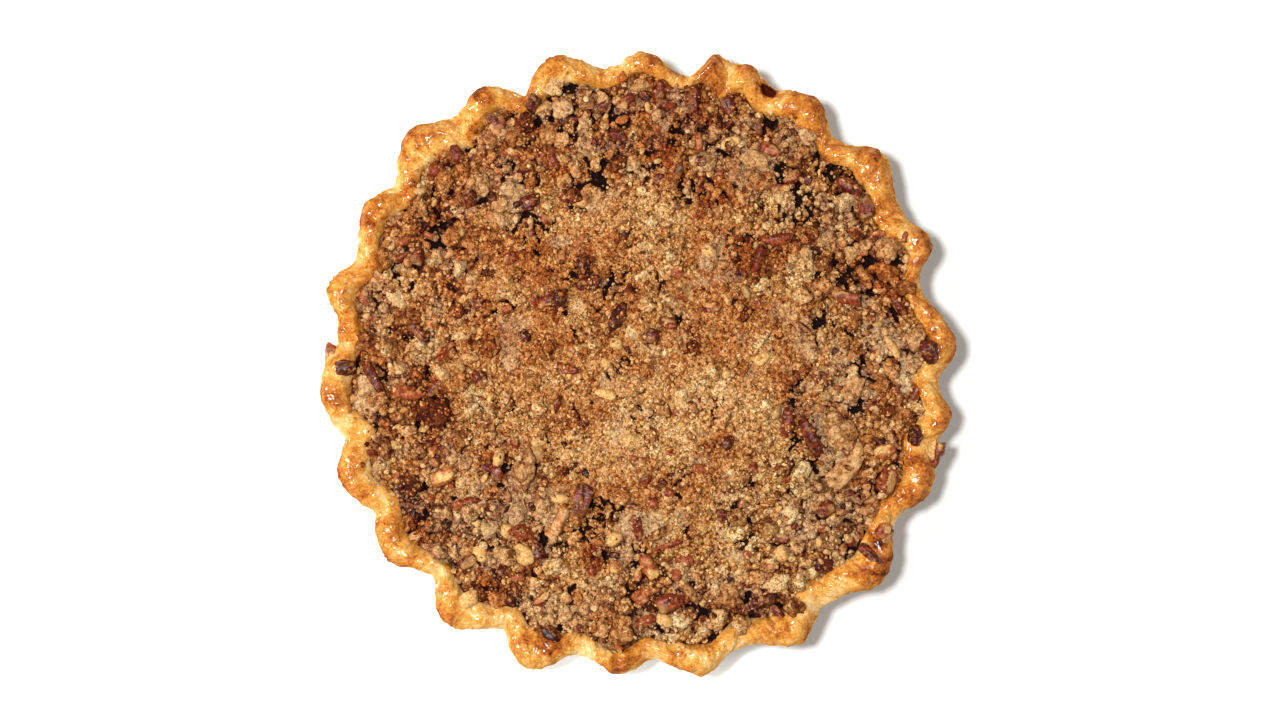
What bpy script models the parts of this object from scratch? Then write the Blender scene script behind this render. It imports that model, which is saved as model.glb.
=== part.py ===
"""Apple crumble pie with a finger-fluted pastry rim, baked and kept in a plain pie tin.

Blender 4.5, metres, +Z up. The pie stands on the tin's flat base. The origin is the centre of
that base, +X runs along the pie's widest span, and +Z points up through the crumble.
Three solids: the tin, the pastry with its filling, and the crumble topping.
"""

import math
import random

import bmesh
import bpy
import numpy as np
from mathutils import Euler, Matrix, Vector, noise

MM = 0.001
GAP = 0.5 * MM

# Pie tin: spun aluminium with sloping sides and a rolled edge.
TIN_HEIGHT = 36.0 * MM
TIN_BASE_RADIUS = 86.0 * MM
TIN_MOUTH_RADIUS = 106.5 * MM
TIN_EDGE_RADIUS = 113.0 * MM
TIN_WALL = 0.8 * MM
TIN_BEAD_RADIUS = 1.4 * MM
TIN_CORNER_RADIUS = 4.0 * MM
TIN_STEPS = 56

# Fluted rim: a roll of pastry pushed outwards into lobes and pinched inwards between them.
RIM_REACH = 124.6 * MM
ROLL_HALF_WIDTH = 5.9 * MM
ROLL_HALF_HEIGHT = 6.2 * MM
ROLL_TOP = 47.5 * MM
LOBE_RISE = 1.2 * MM
LOBE_ROUNDNESS = 0.8
DROOP_FROM_REACH = 120.0 * MM
DROOP_SHARE = 0.28
LEAN_SHARE = 0.75
WAVE_STEP_DEG = 0.6
FLAT_LIMIT = 0.2 * MM
RIM_STEPS = 150
ROLL_ANGLES_DEG = (176, 150, 122, 94, 66, 38, 10, -22)

# One row for each flute, anticlockwise from +X: where its lobe points and how far it reaches
# from the axis, then the same for the pinch that follows it.
FLUTES = (
    # lobe deg, reach mm, pinch deg, reach mm
    (4.0, 127.8, 14.5, 117.4),
    (22.5, 127.8, 30.0, 122.0),
    (40.5, 129.8, 49.0, 120.0),
    (56.0, 128.2, 64.0, 122.8),
    (69.2, 128.2, 72.4, 126.2),
    (75.6, 128.2, 80.5, 117.4),
    (89.0, 125.0, 96.5, 119.8),
    (105.0, 127.6, 113.0, 116.6),
    (120.5, 127.6, 127.0, 123.4),
    (134.5, 131.3, 144.0, 121.8),
    (149.5, 127.0, 160.0, 121.4),
    (166.5, 128.6, 174.5, 121.0),
    (185.5, 128.4, 194.0, 122.2),
    (201.0, 129.2, 209.5, 122.6),
    (217.0, 128.4, 226.0, 119.0),
    (233.5, 130.0, 243.5, 119.8),
    (250.0, 130.2, 259.0, 119.0),
    (265.5, 124.8, 272.0, 119.2),
    (281.5, 127.8, 290.5, 121.6),
    (300.0, 129.8, 307.5, 122.6),
    (318.5, 131.5, 329.5, 121.0),
    (336.0, 128.4, 344.5, 122.6),
    (350.0, 127.4, 356.8, 121.4),
)

# Crumble topping: a bed with a wavy edge and a low dome, covered with clumps and nuts.
RECESS_FLOOR = 38.0 * MM
BED_EDGE_TOP = 43.2 * MM
BED_DOME_RISE = 6.3 * MM
BED_SIDE_GAP = 0.9 * MM
BED_CELLS = 36
LUMP_SPREAD = 12.0 * MM
LUMP_RISE = 1.5 * MM
SMALL_LUMP_SPREAD = 5.5 * MM
SMALL_LUMP_RISE = 0.7 * MM

# The larger clumps and nut pieces, where they lie on the topping.
# Kind, x mm, y mm, length mm, width mm, turn deg.
PIECES = (
    ("pecan", -8, 18, 10.5, 5.0, 50),
    ("pecan", -19, 32, 9.0, 5.5, 20),
    ("clump", -60, 6, 7.0, 6.5, 0),
    ("clump", -91, 15, 10.0, 8.5, 40),
    ("pecan", -57, 96, 8.5, 6.0, 110),
    ("pecan", -42, 102, 7.0, 5.0, 60),
    ("pecan", 9, 109, 9.0, 5.0, 70),
    ("pecan", 23, 107, 9.5, 4.5, 85),
    ("clump", 27, 81, 10.0, 8.5, 10),
    ("mound", 39, 69, 18.0, 16.0, 30),
    ("mound", 60, 65, 17.0, 15.0, 100),
    ("pecan", 53, 85, 8.0, 4.5, 150),
    ("pecan", 62, 74, 6.5, 4.5, 30),
    ("pecan", 90, 61, 10.0, 5.5, 140),
    ("pecan", 56, 49, 11.0, 4.5, 10),
    ("pecan", 48, 38, 7.5, 4.0, 60),
    ("pecan", 11, 16, 7.5, 4.5, 0),
    ("mound", 70, 21, 13.0, 11.5, 60),
    ("pecan", 84, 26, 10.0, 5.0, 165),
    ("clump", 89, 44, 9.0, 8.0, 80),
    ("pecan", -93, -12, 10.0, 5.0, 170),
    ("clump", -81, -21, 11.0, 10.0, 0),
    ("mound", -109, -13, 14.0, 11.0, 80),
    ("pecan", -60, -41, 9.0, 6.0, 130),
    ("pecan", -77, -46, 9.0, 5.5, 25),
    ("pecan", -22, -55, 10.0, 6.5, 70),
    ("pecan", -31, -65, 11.5, 5.0, 55),
    ("chip", -45, -76, 9.0, 6.5, 140),
    ("clump", -48, -59, 8.0, 7.0, 0),
    ("chip", -67, -94, 7.5, 6.5, 20),
    ("pecan", -35, -107, 7.0, 5.5, 120),
    ("clump", -6, -105, 12.0, 7.0, 75),
    ("pecan", 0, -66, 9.0, 3.6, 95),
    ("pecan", 13, -95, 11.5, 6.0, 22),
    ("pecan", 5, -81, 9.0, 6.0, 100),
    ("clump", 17, -103, 12.0, 8.0, 165),
    ("clump", 34, -101, 8.0, 7.0, 45),
    ("clump", 56, -88, 8.5, 8.0, 0),
    ("pecan", 50, -95, 10.0, 5.0, 5),
    ("pecan", 61, -23, 9.0, 5.5, 75),
    ("pecan", 70, -27, 12.5, 6.0, 120),
    ("clump", 80, -22, 13.5, 11.0, 100),
    ("clump", 81, -45, 14.0, 11.0, 30),
    ("clump", 92, -55, 13.0, 10.5, 80),
    ("chip", 87, -10, 10.0, 8.0, 60),
    ("pecan", 75, -79, 6.5, 5.5, 0),
    ("clump", 101, -46, 8.5, 8.0, 0),
)
FILL_PIECES = 56
FILL_SEED = 41
FILL_LENGTH = (4.6, 7.4)
FILL_CLEARANCE = 0.62
PIECE_SINK = {"pecan": 0.10, "clump": 0.14, "mound": 0.30, "chip": 0.10}
PIECE_FLATNESS = {"pecan": 0.72, "clump": 0.80, "mound": 0.46, "chip": 0.70}
PIECE_FACETS = {"pecan": 1, "clump": 1, "mound": 2, "chip": 1}
PIECE_ROUGHNESS = 0.10
PULL_IN = 0.995
EDGE_ROOM = 0.8 * MM

# Two nut pieces that fell over the rim and baked on to its outer side.
# Angle deg, distance from the axis mm, height mm, length mm, width mm.
STRAY_NUTS = (
    (342.2, 125.2, 39.4, 7.6, 5.6),
    (178.2, 123.2, 40.0, 6.8, 5.0),
)


def clear_scene():
    """Removes what the scene holds."""
    for old in list(bpy.data.objects):
        bpy.data.objects.remove(old)


def material(name, colour, roughness, metallic=0.0):
    """A Principled material with one colour, roughness and metallic value."""
    made = bpy.data.materials.new(name)
    made.use_nodes = True
    shader = made.node_tree.nodes["Principled BSDF"]
    shader.inputs["Base Color"].default_value = (*colour, 1.0)
    shader.inputs["Roughness"].default_value = roughness
    shader.inputs["Metallic"].default_value = metallic
    return made


def turned(name, profile, steps, collection):
    """An object that a Screw modifier turns from a profile of (radius, height) points.

    The profile runs from the axis over the top, down the outer side and back to the axis.
    """
    mesh = bpy.data.meshes.new(name)
    points = [(radius, 0.0, height) for radius, height in profile]
    edges = [(i, i + 1) for i in range(len(points) - 1)]
    mesh.from_pydata(points, edges, [])
    obj = bpy.data.objects.new(name, mesh)
    collection.objects.link(obj)
    screw = obj.modifiers.new("turn", "SCREW")
    screw.axis = "Z"
    screw.steps = steps
    screw.render_steps = steps
    screw.use_merge_vertices = True
    screw.merge_threshold = 0.01 * MM
    return obj


def apply_modifiers(obj):
    """Replaces the object's mesh with its evaluated one."""
    graph = bpy.context.evaluated_depsgraph_get()
    mesh = bpy.data.meshes.new_from_object(obj.evaluated_get(graph))
    obj.modifiers.clear()
    old = obj.data
    obj.data = mesh
    bpy.data.meshes.remove(old)


def finish(obj, surface, sharp_deg):
    """Gives the object its material and smooth shading, sharp past an angle."""
    obj.data.materials.clear()
    obj.data.materials.append(surface)
    obj.data.shade_smooth()
    obj.data.set_sharp_from_angle(angle=math.radians(sharp_deg))


def arc(centre, radius, start_deg, end_deg, count):
    """Points of a circular arc in the (radius, height) plane, ends included."""
    points = []
    for i in range(count):
        turn = math.radians(start_deg + (end_deg - start_deg) * i / (count - 1))
        points.append((centre[0] + radius * math.cos(turn), centre[1] + radius * math.sin(turn)))
    return points


def tin_inner_radius(height):
    """Radius of the tin's inner wall at a height."""
    share = (height - TIN_WALL) / (TIN_HEIGHT - TIN_WALL)
    base = TIN_BASE_RADIUS - TIN_WALL
    return base + (TIN_MOUTH_RADIUS - base) * share


def build_tin(collection):
    """The pie tin: flat base, sloping wall, narrow flange and rolled edge."""
    bead_centre = (TIN_EDGE_RADIUS - TIN_BEAD_RADIUS, TIN_HEIGHT - TIN_BEAD_RADIUS)
    wall_out = TIN_MOUTH_RADIUS + TIN_WALL
    inner_corner = (tin_inner_radius(TIN_CORNER_RADIUS), TIN_CORNER_RADIUS)
    profile = [
        (0.0, TIN_WALL),
        (TIN_BASE_RADIUS - TIN_WALL - TIN_CORNER_RADIUS, TIN_WALL),
        inner_corner,
        (TIN_MOUTH_RADIUS, TIN_HEIGHT),
    ]
    profile += arc(bead_centre, TIN_BEAD_RADIUS, 90, -150, 6)
    profile += [
        (wall_out, TIN_HEIGHT - TIN_WALL),
        (inner_corner[0] + TIN_WALL, TIN_CORNER_RADIUS),
        (TIN_BASE_RADIUS - TIN_CORNER_RADIUS, 0.0),
        (0.0, 0.0),
    ]
    tin = turned("pie_tin", profile, TIN_STEPS, collection)
    finish(tin, material("spun_aluminium", (0.62, 0.63, 0.65), 0.34, 1.0), 35)


def outline_nodes():
    """The rim's lobes and pinches in turn, as (angle in degrees, reach in metres)."""
    nodes = []
    for lobe_deg, lobe_mm, pinch_deg, pinch_mm in FLUTES:
        nodes.append((lobe_deg, lobe_mm * MM))
        nodes.append((pinch_deg, pinch_mm * MM))
    return nodes


OUTLINE = outline_nodes()


def rim_reach(turn):
    """(reach of the rim's outer edge, how much of a lobe it is from 0 to 1) at an angle in radians."""
    degrees = math.degrees(turn) % 360.0
    count = len(OUTLINE)
    for i in range(count):
        start_deg, start = OUTLINE[i]
        end_deg, end = OUTLINE[(i + 1) % count]
        span = (end_deg - start_deg) % 360.0
        along = (degrees - start_deg) % 360.0
        if along <= span:
            break
    share = 0.5 - 0.5 * math.cos(math.pi * along / span)
    lobe = 1.0 - share if i % 2 == 0 else share
    lobe = lobe ** LOBE_ROUNDNESS
    low, high = (end, start) if i % 2 == 0 else (start, end)
    return low + (high - low) * lobe, lobe


def rim_point(turn, offset):
    """(x, y) of the point at an offset from the rim's outer edge, measured across the roll.

    The roll keeps most of its width where it runs aslant, because the offset leans with the wave.
    """
    step = math.radians(WAVE_STEP_DEG)
    reach, _ = rim_reach(turn)
    slope = (rim_reach(turn + step)[0] - rim_reach(turn - step)[0]) / (2.0 * step)
    lean = LEAN_SHARE * math.atan2(slope, reach)
    middle = reach - ROLL_HALF_WIDTH
    across = offset + ROLL_HALF_WIDTH
    x = middle * math.cos(turn) + across * math.cos(turn - lean)
    y = middle * math.sin(turn) + across * math.sin(turn - lean)
    return x, y


def crimp(mesh):
    """Pushes a turned pastry case's rim in and out along its flutes."""
    height = ROLL_TOP - TIN_HEIGHT
    inner_foot = RIM_REACH - 2 * ROLL_HALF_WIDTH
    for vertex in mesh.vertices:
        x, y, z = vertex.co
        radius = math.hypot(x, y)
        if z < TIN_HEIGHT + GAP + FLAT_LIMIT or radius < inner_foot - FLAT_LIMIT:
            continue
        turn = math.atan2(y, x)
        reach, lobe = rim_reach(turn)
        up = (z - TIN_HEIGHT) / height
        out = max(0.0, (radius - RIM_REACH + ROLL_HALF_WIDTH) / ROLL_HALF_WIDTH)
        rise = LOBE_RISE * (lobe - 0.5) * up
        droop = DROOP_SHARE * max(0.0, reach - DROOP_FROM_REACH) * out * max(0.0, 1.0 - up)
        vertex.co = (*rim_point(turn, radius - RIM_REACH), z + rise - droop)


def roll_profile():
    """The roll of pastry from its inner foot over the crest to its underside."""
    centre = (RIM_REACH - ROLL_HALF_WIDTH, ROLL_TOP - ROLL_HALF_HEIGHT)
    points = []
    for degrees in ROLL_ANGLES_DEG:
        turn = math.radians(degrees)
        points.append(
            (centre[0] + ROLL_HALF_WIDTH * math.cos(turn), centre[1] + ROLL_HALF_HEIGHT * math.sin(turn))
        )
    return points


def build_pastry(collection):
    """Pastry case and its filling as one solid, with a recess on top for the crumble."""
    inner_foot = RIM_REACH - 2 * ROLL_HALF_WIDTH
    underside = TIN_HEIGHT + GAP
    wall_top = tin_inner_radius(TIN_HEIGHT) - GAP
    base_edge = TIN_BASE_RADIUS - TIN_WALL - TIN_CORNER_RADIUS - GAP
    profile = [(0.0, RECESS_FLOOR), (inner_foot, RECESS_FLOOR)]
    profile += roll_profile()
    profile += [
        (RIM_REACH - 2.2 * MM, TIN_HEIGHT + 1.1 * MM),
        (RIM_REACH - 5.6 * MM, underside),
        (wall_top, underside),
        (tin_inner_radius(TIN_CORNER_RADIUS) - GAP, TIN_CORNER_RADIUS + GAP),
        (base_edge, TIN_WALL + GAP),
        (0.0, TIN_WALL + GAP),
    ]
    pastry = turned("pastry_case", profile, RIM_STEPS, collection)
    apply_modifiers(pastry)
    crimp(pastry.data)
    strays = bpy.data.collections.new("stray_nuts")
    bpy.context.scene.collection.children.link(strays)
    for angle_deg, distance_mm, height_mm, length_mm, width_mm in STRAY_NUTS:
        turn = math.radians(angle_deg)
        place = Vector(
            (distance_mm * MM * math.cos(turn), distance_mm * MM * math.sin(turn), height_mm * MM)
        )
        size = Vector((width_mm, length_mm, width_mm)) * MM
        add_piece(strays, place, size, Euler((0.2, 0.3, turn)), 1)
    fuse(pastry, strays)
    finish(pastry, material("egg_washed_pastry", (0.72, 0.36, 0.11), 0.32), 50)


def add_piece(collection, place, size, tilt, facets):
    """One lump of a few faces: an icosphere scaled to its size, with its corners pushed about."""
    mesh = bpy.data.meshes.new("piece")
    shape = bmesh.new()
    bmesh.ops.create_icosphere(shape, subdivisions=facets, radius=0.5)
    for vertex in shape.verts:
        push = noise.noise_vector(vertex.co * 3.0 + place * 900.0)
        vertex.co += push * PIECE_ROUGHNESS
    bmesh.ops.transform(
        shape,
        matrix=Matrix.Translation(place) @ tilt.to_matrix().to_4x4() @ Matrix.Diagonal((*size, 1.0)),
        verts=shape.verts,
    )
    shape.to_mesh(mesh)
    shape.free()
    collection.objects.link(bpy.data.objects.new("piece", mesh))


def inner_edge():
    """The rim's inner edge as (turns, radii), one pair each half degree and sorted by turn."""
    points = [rim_point(math.radians(0.5 * i), -2.0 * ROLL_HALF_WIDTH) for i in range(720)]
    pairs = sorted((math.atan2(y, x), math.hypot(x, y)) for x, y in points)
    return np.array(pairs).T


INNER_EDGE = inner_edge()


def bed_edge(turn):
    """Radius of the crumble bed's side at an angle."""
    return float(np.interp(turn, *INNER_EDGE, period=math.tau)) - BED_SIDE_GAP


def bed_top(x, y):
    """Height of the crumble bed's lumpy top at a point."""
    radius = math.hypot(x, y)
    out = min(1.0, radius / bed_edge(math.atan2(y, x)))
    dome = BED_DOME_RISE * (1.0 - out ** 2.4)
    lumps = LUMP_RISE * noise.noise(Vector((x, y, 0.0)) / LUMP_SPREAD)
    small = SMALL_LUMP_RISE * noise.noise(Vector((x, y, 0.05)) / SMALL_LUMP_SPREAD)
    return BED_EDGE_TOP + dome + lumps + small


def bed_shape():
    """The crumble bed: a grid rounded to the rim's waves, raised into lumps and given a side and base."""
    shape = bmesh.new()
    bmesh.ops.create_grid(shape, x_segments=BED_CELLS, y_segments=BED_CELLS, size=1.0)
    mean_edge = RIM_REACH - 2 * ROLL_HALF_WIDTH - BED_SIDE_GAP
    for vertex in shape.verts:
        across, along, _ = vertex.co
        x = across * math.sqrt(1.0 - 0.5 * along ** 2)
        y = along * math.sqrt(1.0 - 0.5 * across ** 2)
        share = math.hypot(x, y)
        # The waves of the edge fade out towards the middle.
        edge = mean_edge
        if share > 0.0:
            edge += (bed_edge(math.atan2(y, x)) - mean_edge) * share ** 4
        vertex.co = (x * edge, y * edge, bed_top(x * edge, y * edge))
    boundary = [edge for edge in shape.edges if edge.is_boundary]
    side = bmesh.ops.extrude_edge_only(shape, edges=boundary)["geom"]
    for vertex in [part for part in side if isinstance(part, bmesh.types.BMVert)]:
        vertex.co.z = RECESS_FLOOR + GAP
    bmesh.ops.holes_fill(shape, edges=[edge for edge in shape.edges if edge.is_boundary], sides=0)
    bmesh.ops.triangulate(shape, faces=shape.faces)
    bmesh.ops.recalc_face_normals(shape, faces=shape.faces)
    return shape


def fits(x, y, half_length):
    """Whether a piece of this half length stays inside the fluted rim."""
    for i in range(12):
        turn = math.tau * i / 12
        side_x = x + (half_length + EDGE_ROOM) * math.cos(turn)
        side_y = y + (half_length + EDGE_ROOM) * math.sin(turn)
        if math.hypot(side_x, side_y) > bed_edge(math.atan2(side_y, side_x)):
            return False
    return True


def laid_pieces():
    """Every clump and nut of the topping: the named ones, then small ones between them."""
    rows = []
    for kind, x_mm, y_mm, length_mm, width_mm, turn_deg in PIECES:
        rows.append((kind, x_mm * MM, y_mm * MM, length_mm * MM, width_mm * MM, math.radians(turn_deg)))
    draw = random.Random(FILL_SEED)
    wanted = len(rows) + FILL_PIECES
    while len(rows) < wanted:
        turn = draw.uniform(0.0, math.tau)
        radius = (RIM_REACH - 2 * ROLL_HALF_WIDTH) * math.sqrt(draw.uniform(0.02, 1.0))
        x, y = radius * math.cos(turn), radius * math.sin(turn)
        length = draw.uniform(*FILL_LENGTH) * MM
        width = length * draw.uniform(0.6, 0.95)
        kind = draw.choice(("clump", "clump", "pecan", "chip"))
        spin = draw.uniform(0.0, math.pi)
        room = [math.hypot(x - row[1], y - row[2]) > FILL_CLEARANCE * (length + row[3]) for row in rows]
        if all(room):
            rows.append((kind, x, y, length, width, spin))
    return rows


def build_crumble(collection):
    """The crumble topping: its bed with every clump and nut fused on."""
    mesh = bpy.data.meshes.new("crumble_topping")
    bed = bed_shape()
    bed.to_mesh(mesh)
    bed.free()
    crumble = bpy.data.objects.new("crumble_topping", mesh)
    collection.objects.link(crumble)
    lumps = bpy.data.collections.new("topping_pieces")
    bpy.context.scene.collection.children.link(lumps)
    for kind, x, y, length, width, spin in laid_pieces():
        while not fits(x, y, 0.5 * length):
            x, y = x * PULL_IN, y * PULL_IN
        height = width * PIECE_FLATNESS[kind]
        lift = height * (0.5 - PIECE_SINK[kind]) * 0.5
        place = Vector((x, y, bed_top(x, y) + lift))
        tilt = Euler((0.12 * math.sin(9.0 * x / MM), 0.12 * math.cos(7.0 * y / MM), spin))
        add_piece(lumps, place, Vector((length, width, height)), tilt, PIECE_FACETS[kind])
    fuse(crumble, lumps)
    finish(crumble, material("baked_crumble", (0.36, 0.19, 0.075), 0.85), 30)


def fuse(obj, collection):
    """Joins a collection's pieces to an object with one Boolean union, then removes them."""
    union = obj.modifiers.new("fuse", "BOOLEAN")
    union.operation = "UNION"
    union.operand_type = "COLLECTION"
    union.collection = collection
    union.solver = "MANIFOLD"
    apply_modifiers(obj)
    keep_largest_shell(obj.data)
    for piece in list(collection.objects):
        bpy.data.objects.remove(piece)
    bpy.data.collections.remove(collection)


def keep_largest_shell(mesh):
    """Deletes the faces of sealed hollows and loose scraps that a union leaves."""
    shape = bmesh.new()
    shape.from_mesh(mesh)
    left = set(shape.faces)
    shells = []
    while left:
        shell = {left.pop()}
        edge_of_shell = list(shell)
        while edge_of_shell:
            face = edge_of_shell.pop()
            for edge in face.edges:
                for other in edge.link_faces:
                    if other in left:
                        left.remove(other)
                        shell.add(other)
                        edge_of_shell.append(other)
        shells.append(shell)
    shells.sort(key=len)
    for scrap in shells[:-1]:
        bmesh.ops.delete(shape, geom=list(scrap), context="FACES")
    bmesh.ops.triangulate(shape, faces=shape.faces)
    shape.to_mesh(mesh)
    shape.free()


def main():
    """Builds the pie."""
    clear_scene()
    pie = bpy.data.collections.new("apple_crumble_pie")
    bpy.context.scene.collection.children.link(pie)
    build_tin(pie)
    build_pastry(pie)
    build_crumble(pie)


main()
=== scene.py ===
"""Looks of an apple crumble pie: a fluted, egg-washed crust in a plain tin, filled to the rim with
pecan crumble.

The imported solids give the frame. Each class here builds one sub-assembly of the pie at its place,
in metres, from sizes that are given in millimetres.
"""

import itertools
import logging
import math
from collections.abc import Callable
from dataclasses import dataclass, field
from enum import Enum

import bmesh
import bpy
import numpy as np
from mathutils import Matrix, Vector
from mathutils.bvhtree import BVHTree

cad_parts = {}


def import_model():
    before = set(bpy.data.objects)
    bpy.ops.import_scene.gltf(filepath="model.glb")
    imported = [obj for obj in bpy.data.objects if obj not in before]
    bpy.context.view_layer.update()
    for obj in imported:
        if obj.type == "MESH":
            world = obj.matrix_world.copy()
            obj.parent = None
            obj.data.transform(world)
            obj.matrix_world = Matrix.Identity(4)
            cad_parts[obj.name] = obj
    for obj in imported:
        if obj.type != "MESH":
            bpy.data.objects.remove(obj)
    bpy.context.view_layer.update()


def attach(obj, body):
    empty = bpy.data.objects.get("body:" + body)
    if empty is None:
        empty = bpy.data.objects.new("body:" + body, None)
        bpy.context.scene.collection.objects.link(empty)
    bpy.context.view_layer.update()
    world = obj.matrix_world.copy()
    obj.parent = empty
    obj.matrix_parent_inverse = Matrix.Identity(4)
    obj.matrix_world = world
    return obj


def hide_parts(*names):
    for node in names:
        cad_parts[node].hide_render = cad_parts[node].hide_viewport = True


MM = 0.001
BODY = "root"
log = logging.getLogger("pie")

Array = np.ndarray
Object = bpy.types.Object
Material = bpy.types.Material
Socket = bpy.types.NodeSocket
Tree = bpy.types.NodeTree
Stops = tuple[tuple[float, str], ...]


# --------------------------------------------------------------------------------------------
# Colour, nodes and meshes
# --------------------------------------------------------------------------------------------


def linear(hex_colour: str) -> tuple[float, float, float, float]:
    """Turns an sRGB hex colour to linear light.

    Args:
        hex_colour: Six hex digits, such as "E0A050".

    Returns:
        Red, green, blue and an alpha of 1.
    """
    values = [int(hex_colour[i : i + 2], 16) / 255.0 for i in (0, 2, 4)]
    turned = [v / 12.92 if v <= 0.04045 else ((v + 0.055) / 1.055) ** 2.4 for v in values]
    return (turned[0], turned[1], turned[2], 1.0)


def feed(tree: Tree, node: bpy.types.Node, inputs: dict) -> None:
    """Sets or links a node's inputs.

    Args:
        tree: The node tree.
        node: The node.
        inputs: Input name or index to a value, or to the output socket that feeds it.
    """
    for key, value in inputs.items():
        if isinstance(value, Socket):
            tree.links.new(value, node.inputs[key])
        else:
            node.inputs[key].default_value = value


def add_node(tree: Tree, kind: str, inputs: dict | None = None, **settings) -> bpy.types.Node:
    """Adds a node with its settings and links.

    Args:
        tree: The node tree.
        kind: The node's type name.
        inputs: What feeds its inputs, see feed().
        **settings: The node's own properties.

    Returns:
        The new node.
    """
    node = tree.nodes.new(kind)
    for name, value in settings.items():
        setattr(node, name, value)
    feed(tree, node, inputs or {})
    return node


def object_place(tree: Tree) -> Socket:
    """Gives each point's place on its own piece, which moves and turns with it."""
    return add_node(tree, "ShaderNodeTexCoord").outputs["Object"]


def attribute(tree: Tree, name: str) -> Socket:
    """Reads a number that is stored on the corners of the mesh."""
    return add_node(tree, "ShaderNodeAttribute", attribute_name=name).outputs["Fac"]


def maths(tree: Tree, operation: str, *values: Socket | float) -> Socket:
    """Adds a Math node.

    Args:
        tree: The node tree.
        operation: What it works out.
        *values: Its inputs, in order.

    Returns:
        The result.
    """
    return add_node(tree, "ShaderNodeMath", dict(enumerate(values)), operation=operation).outputs[0]


def ranged(tree: Tree, value: Socket, low: float, high: float, top: Socket | float = 1.0) -> Socket:
    """Rises evenly from 0 to top while a value runs from low to high.

    Args:
        tree: The node tree.
        value: The value.
        low: Where the rise starts.
        high: Where it ends, which may be below low.
        top: The result from there on.

    Returns:
        The result.
    """
    inputs = {"Value": value, 1: low, 2: high, 3: 0.0, 4: top}
    return add_node(tree, "ShaderNodeMapRange", inputs).outputs["Result"]


def mixed(
    tree: Tree, share: Socket, first: Socket, second: Socket | tuple, blend: str = "MIX"
) -> Socket:
    """Mixes two colours.

    Args:
        tree: The node tree.
        share: How much of the second there is, from 0 to 1.
        first: The first colour.
        second: The second colour.
        blend: How they mix.

    Returns:
        The mixed colour.
    """
    inputs = {"Factor": share, "A": first, "B": second}
    node = add_node(tree, "ShaderNodeMix", inputs, data_type="RGBA", blend_type=blend)
    return node.outputs["Result"]


def ramped(tree: Tree, level: Socket, stops: Stops) -> Socket:
    """Turns a level to a colour.

    Args:
        tree: The node tree.
        level: The level, from 0 to 1.
        stops: Pairs of position and hex colour, in order.

    Returns:
        The colour.
    """
    node = add_node(tree, "ShaderNodeValToRGB", {"Fac": level})
    elements = node.color_ramp.elements
    while len(elements) < len(stops):
        elements.new(0.5)
    for element, (position, colour) in zip(elements, stops):
        element.position = position
        element.color = linear(colour)
    return node.outputs["Color"]


def relief(tree: Tree, height: Socket, reach: float, strength: float = 1.0) -> Socket:
    """Turns a height to a bumpy normal.

    Args:
        tree: The node tree.
        height: The height, from 0 to 1.
        reach: How many millimetres a height of 1 stands out.
        strength: How much of the relief shows.

    Returns:
        The normal.
    """
    inputs = {"Height": height, "Strength": strength, "Distance": reach * MM}
    return add_node(tree, "ShaderNodeBump", inputs).outputs["Normal"]


def new_material(name: str) -> tuple[Material, Tree, bpy.types.Node]:
    """Makes a material with a Principled shader.

    Args:
        name: The material's name.

    Returns:
        The material, its node tree and its Principled node.
    """
    material = bpy.data.materials.new(name)
    material.use_nodes = True
    tree = material.node_tree
    return material, tree, tree.nodes["Principled BSDF"]


def noise_at(tree: Tree, place: Socket, size: float, detail: float) -> Socket:
    """Adds a noise texture.

    Args:
        tree: The node tree.
        place: The coordinates.
        size: Width of its bumps in millimetres.
        detail: How many finer layers it has.

    Returns:
        The noise, from 0 to 1 with a mean of 0.5.
    """
    inputs = {"Vector": place, "Scale": 1.0 / (size * MM), "Detail": detail}
    return add_node(tree, "ShaderNodeTexNoise", inputs).outputs["Fac"]


def shifted_by(tree: Tree, value: Socket, noise: Socket, share: float) -> Socket:
    """Moves a value up and down by a noise whose mean is 0.5.

    Args:
        tree: The node tree.
        value: What is moved.
        noise: What moves it.
        share: How far a noise from 0 to 1 moves it.

    Returns:
        The moved value.
    """
    return maths(tree, "ADD", value, maths(tree, "MULTIPLY_ADD", noise, share, -0.5 * share))


def placed(name: str, mesh: bpy.types.Mesh) -> Object:
    """Puts a mesh into the scene as a new object at the origin."""
    obj = bpy.data.objects.new(name, mesh)
    bpy.context.scene.collection.objects.link(obj)
    return obj


def from_shape(name: str, shape: bmesh.types.BMesh) -> Object:
    """Turns a finished shape to a smooth-shaded object in the scene, and frees the shape."""
    mesh = bpy.data.meshes.new(name)
    shape.to_mesh(mesh)
    shape.free()
    mesh.shade_smooth()
    return placed(name, mesh)


def mesh_object(name: str, points: Array, faces: Array, smooth: bool) -> Object:
    """Makes an object of triangles from arrays.

    Args:
        name: The piece's name.
        points: Corners in millimetres, one row each.
        faces: Three corner numbers a row.
        smooth: Whether the faces are shaded smooth.

    Returns:
        The new object, in the scene.
    """
    mesh = bpy.data.meshes.new(name)
    mesh.vertices.add(len(points))
    mesh.vertices.foreach_set("co", (points * MM).astype(np.float32).ravel())
    mesh.loops.add(faces.size)
    mesh.loops.foreach_set("vertex_index", faces.astype(np.int32).ravel())
    mesh.polygons.add(len(faces))
    mesh.polygons.foreach_set("loop_start", np.arange(0, faces.size, 3, dtype=np.int32))
    mesh.update(calc_edges=True)
    mesh.polygons.foreach_set("use_smooth", np.full(len(faces), smooth))
    return placed(name, mesh)


def set_attribute(obj: Object, name: str, values: Array) -> None:
    """Stores one number for each corner of a mesh, for its material to read.

    Args:
        obj: The mesh object.
        name: The attribute's name.
        values: One number for each corner.
    """
    layer = obj.data.attributes.new(name, "FLOAT", "POINT")
    layer.data.foreach_set("value", values.astype(np.float32))


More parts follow.
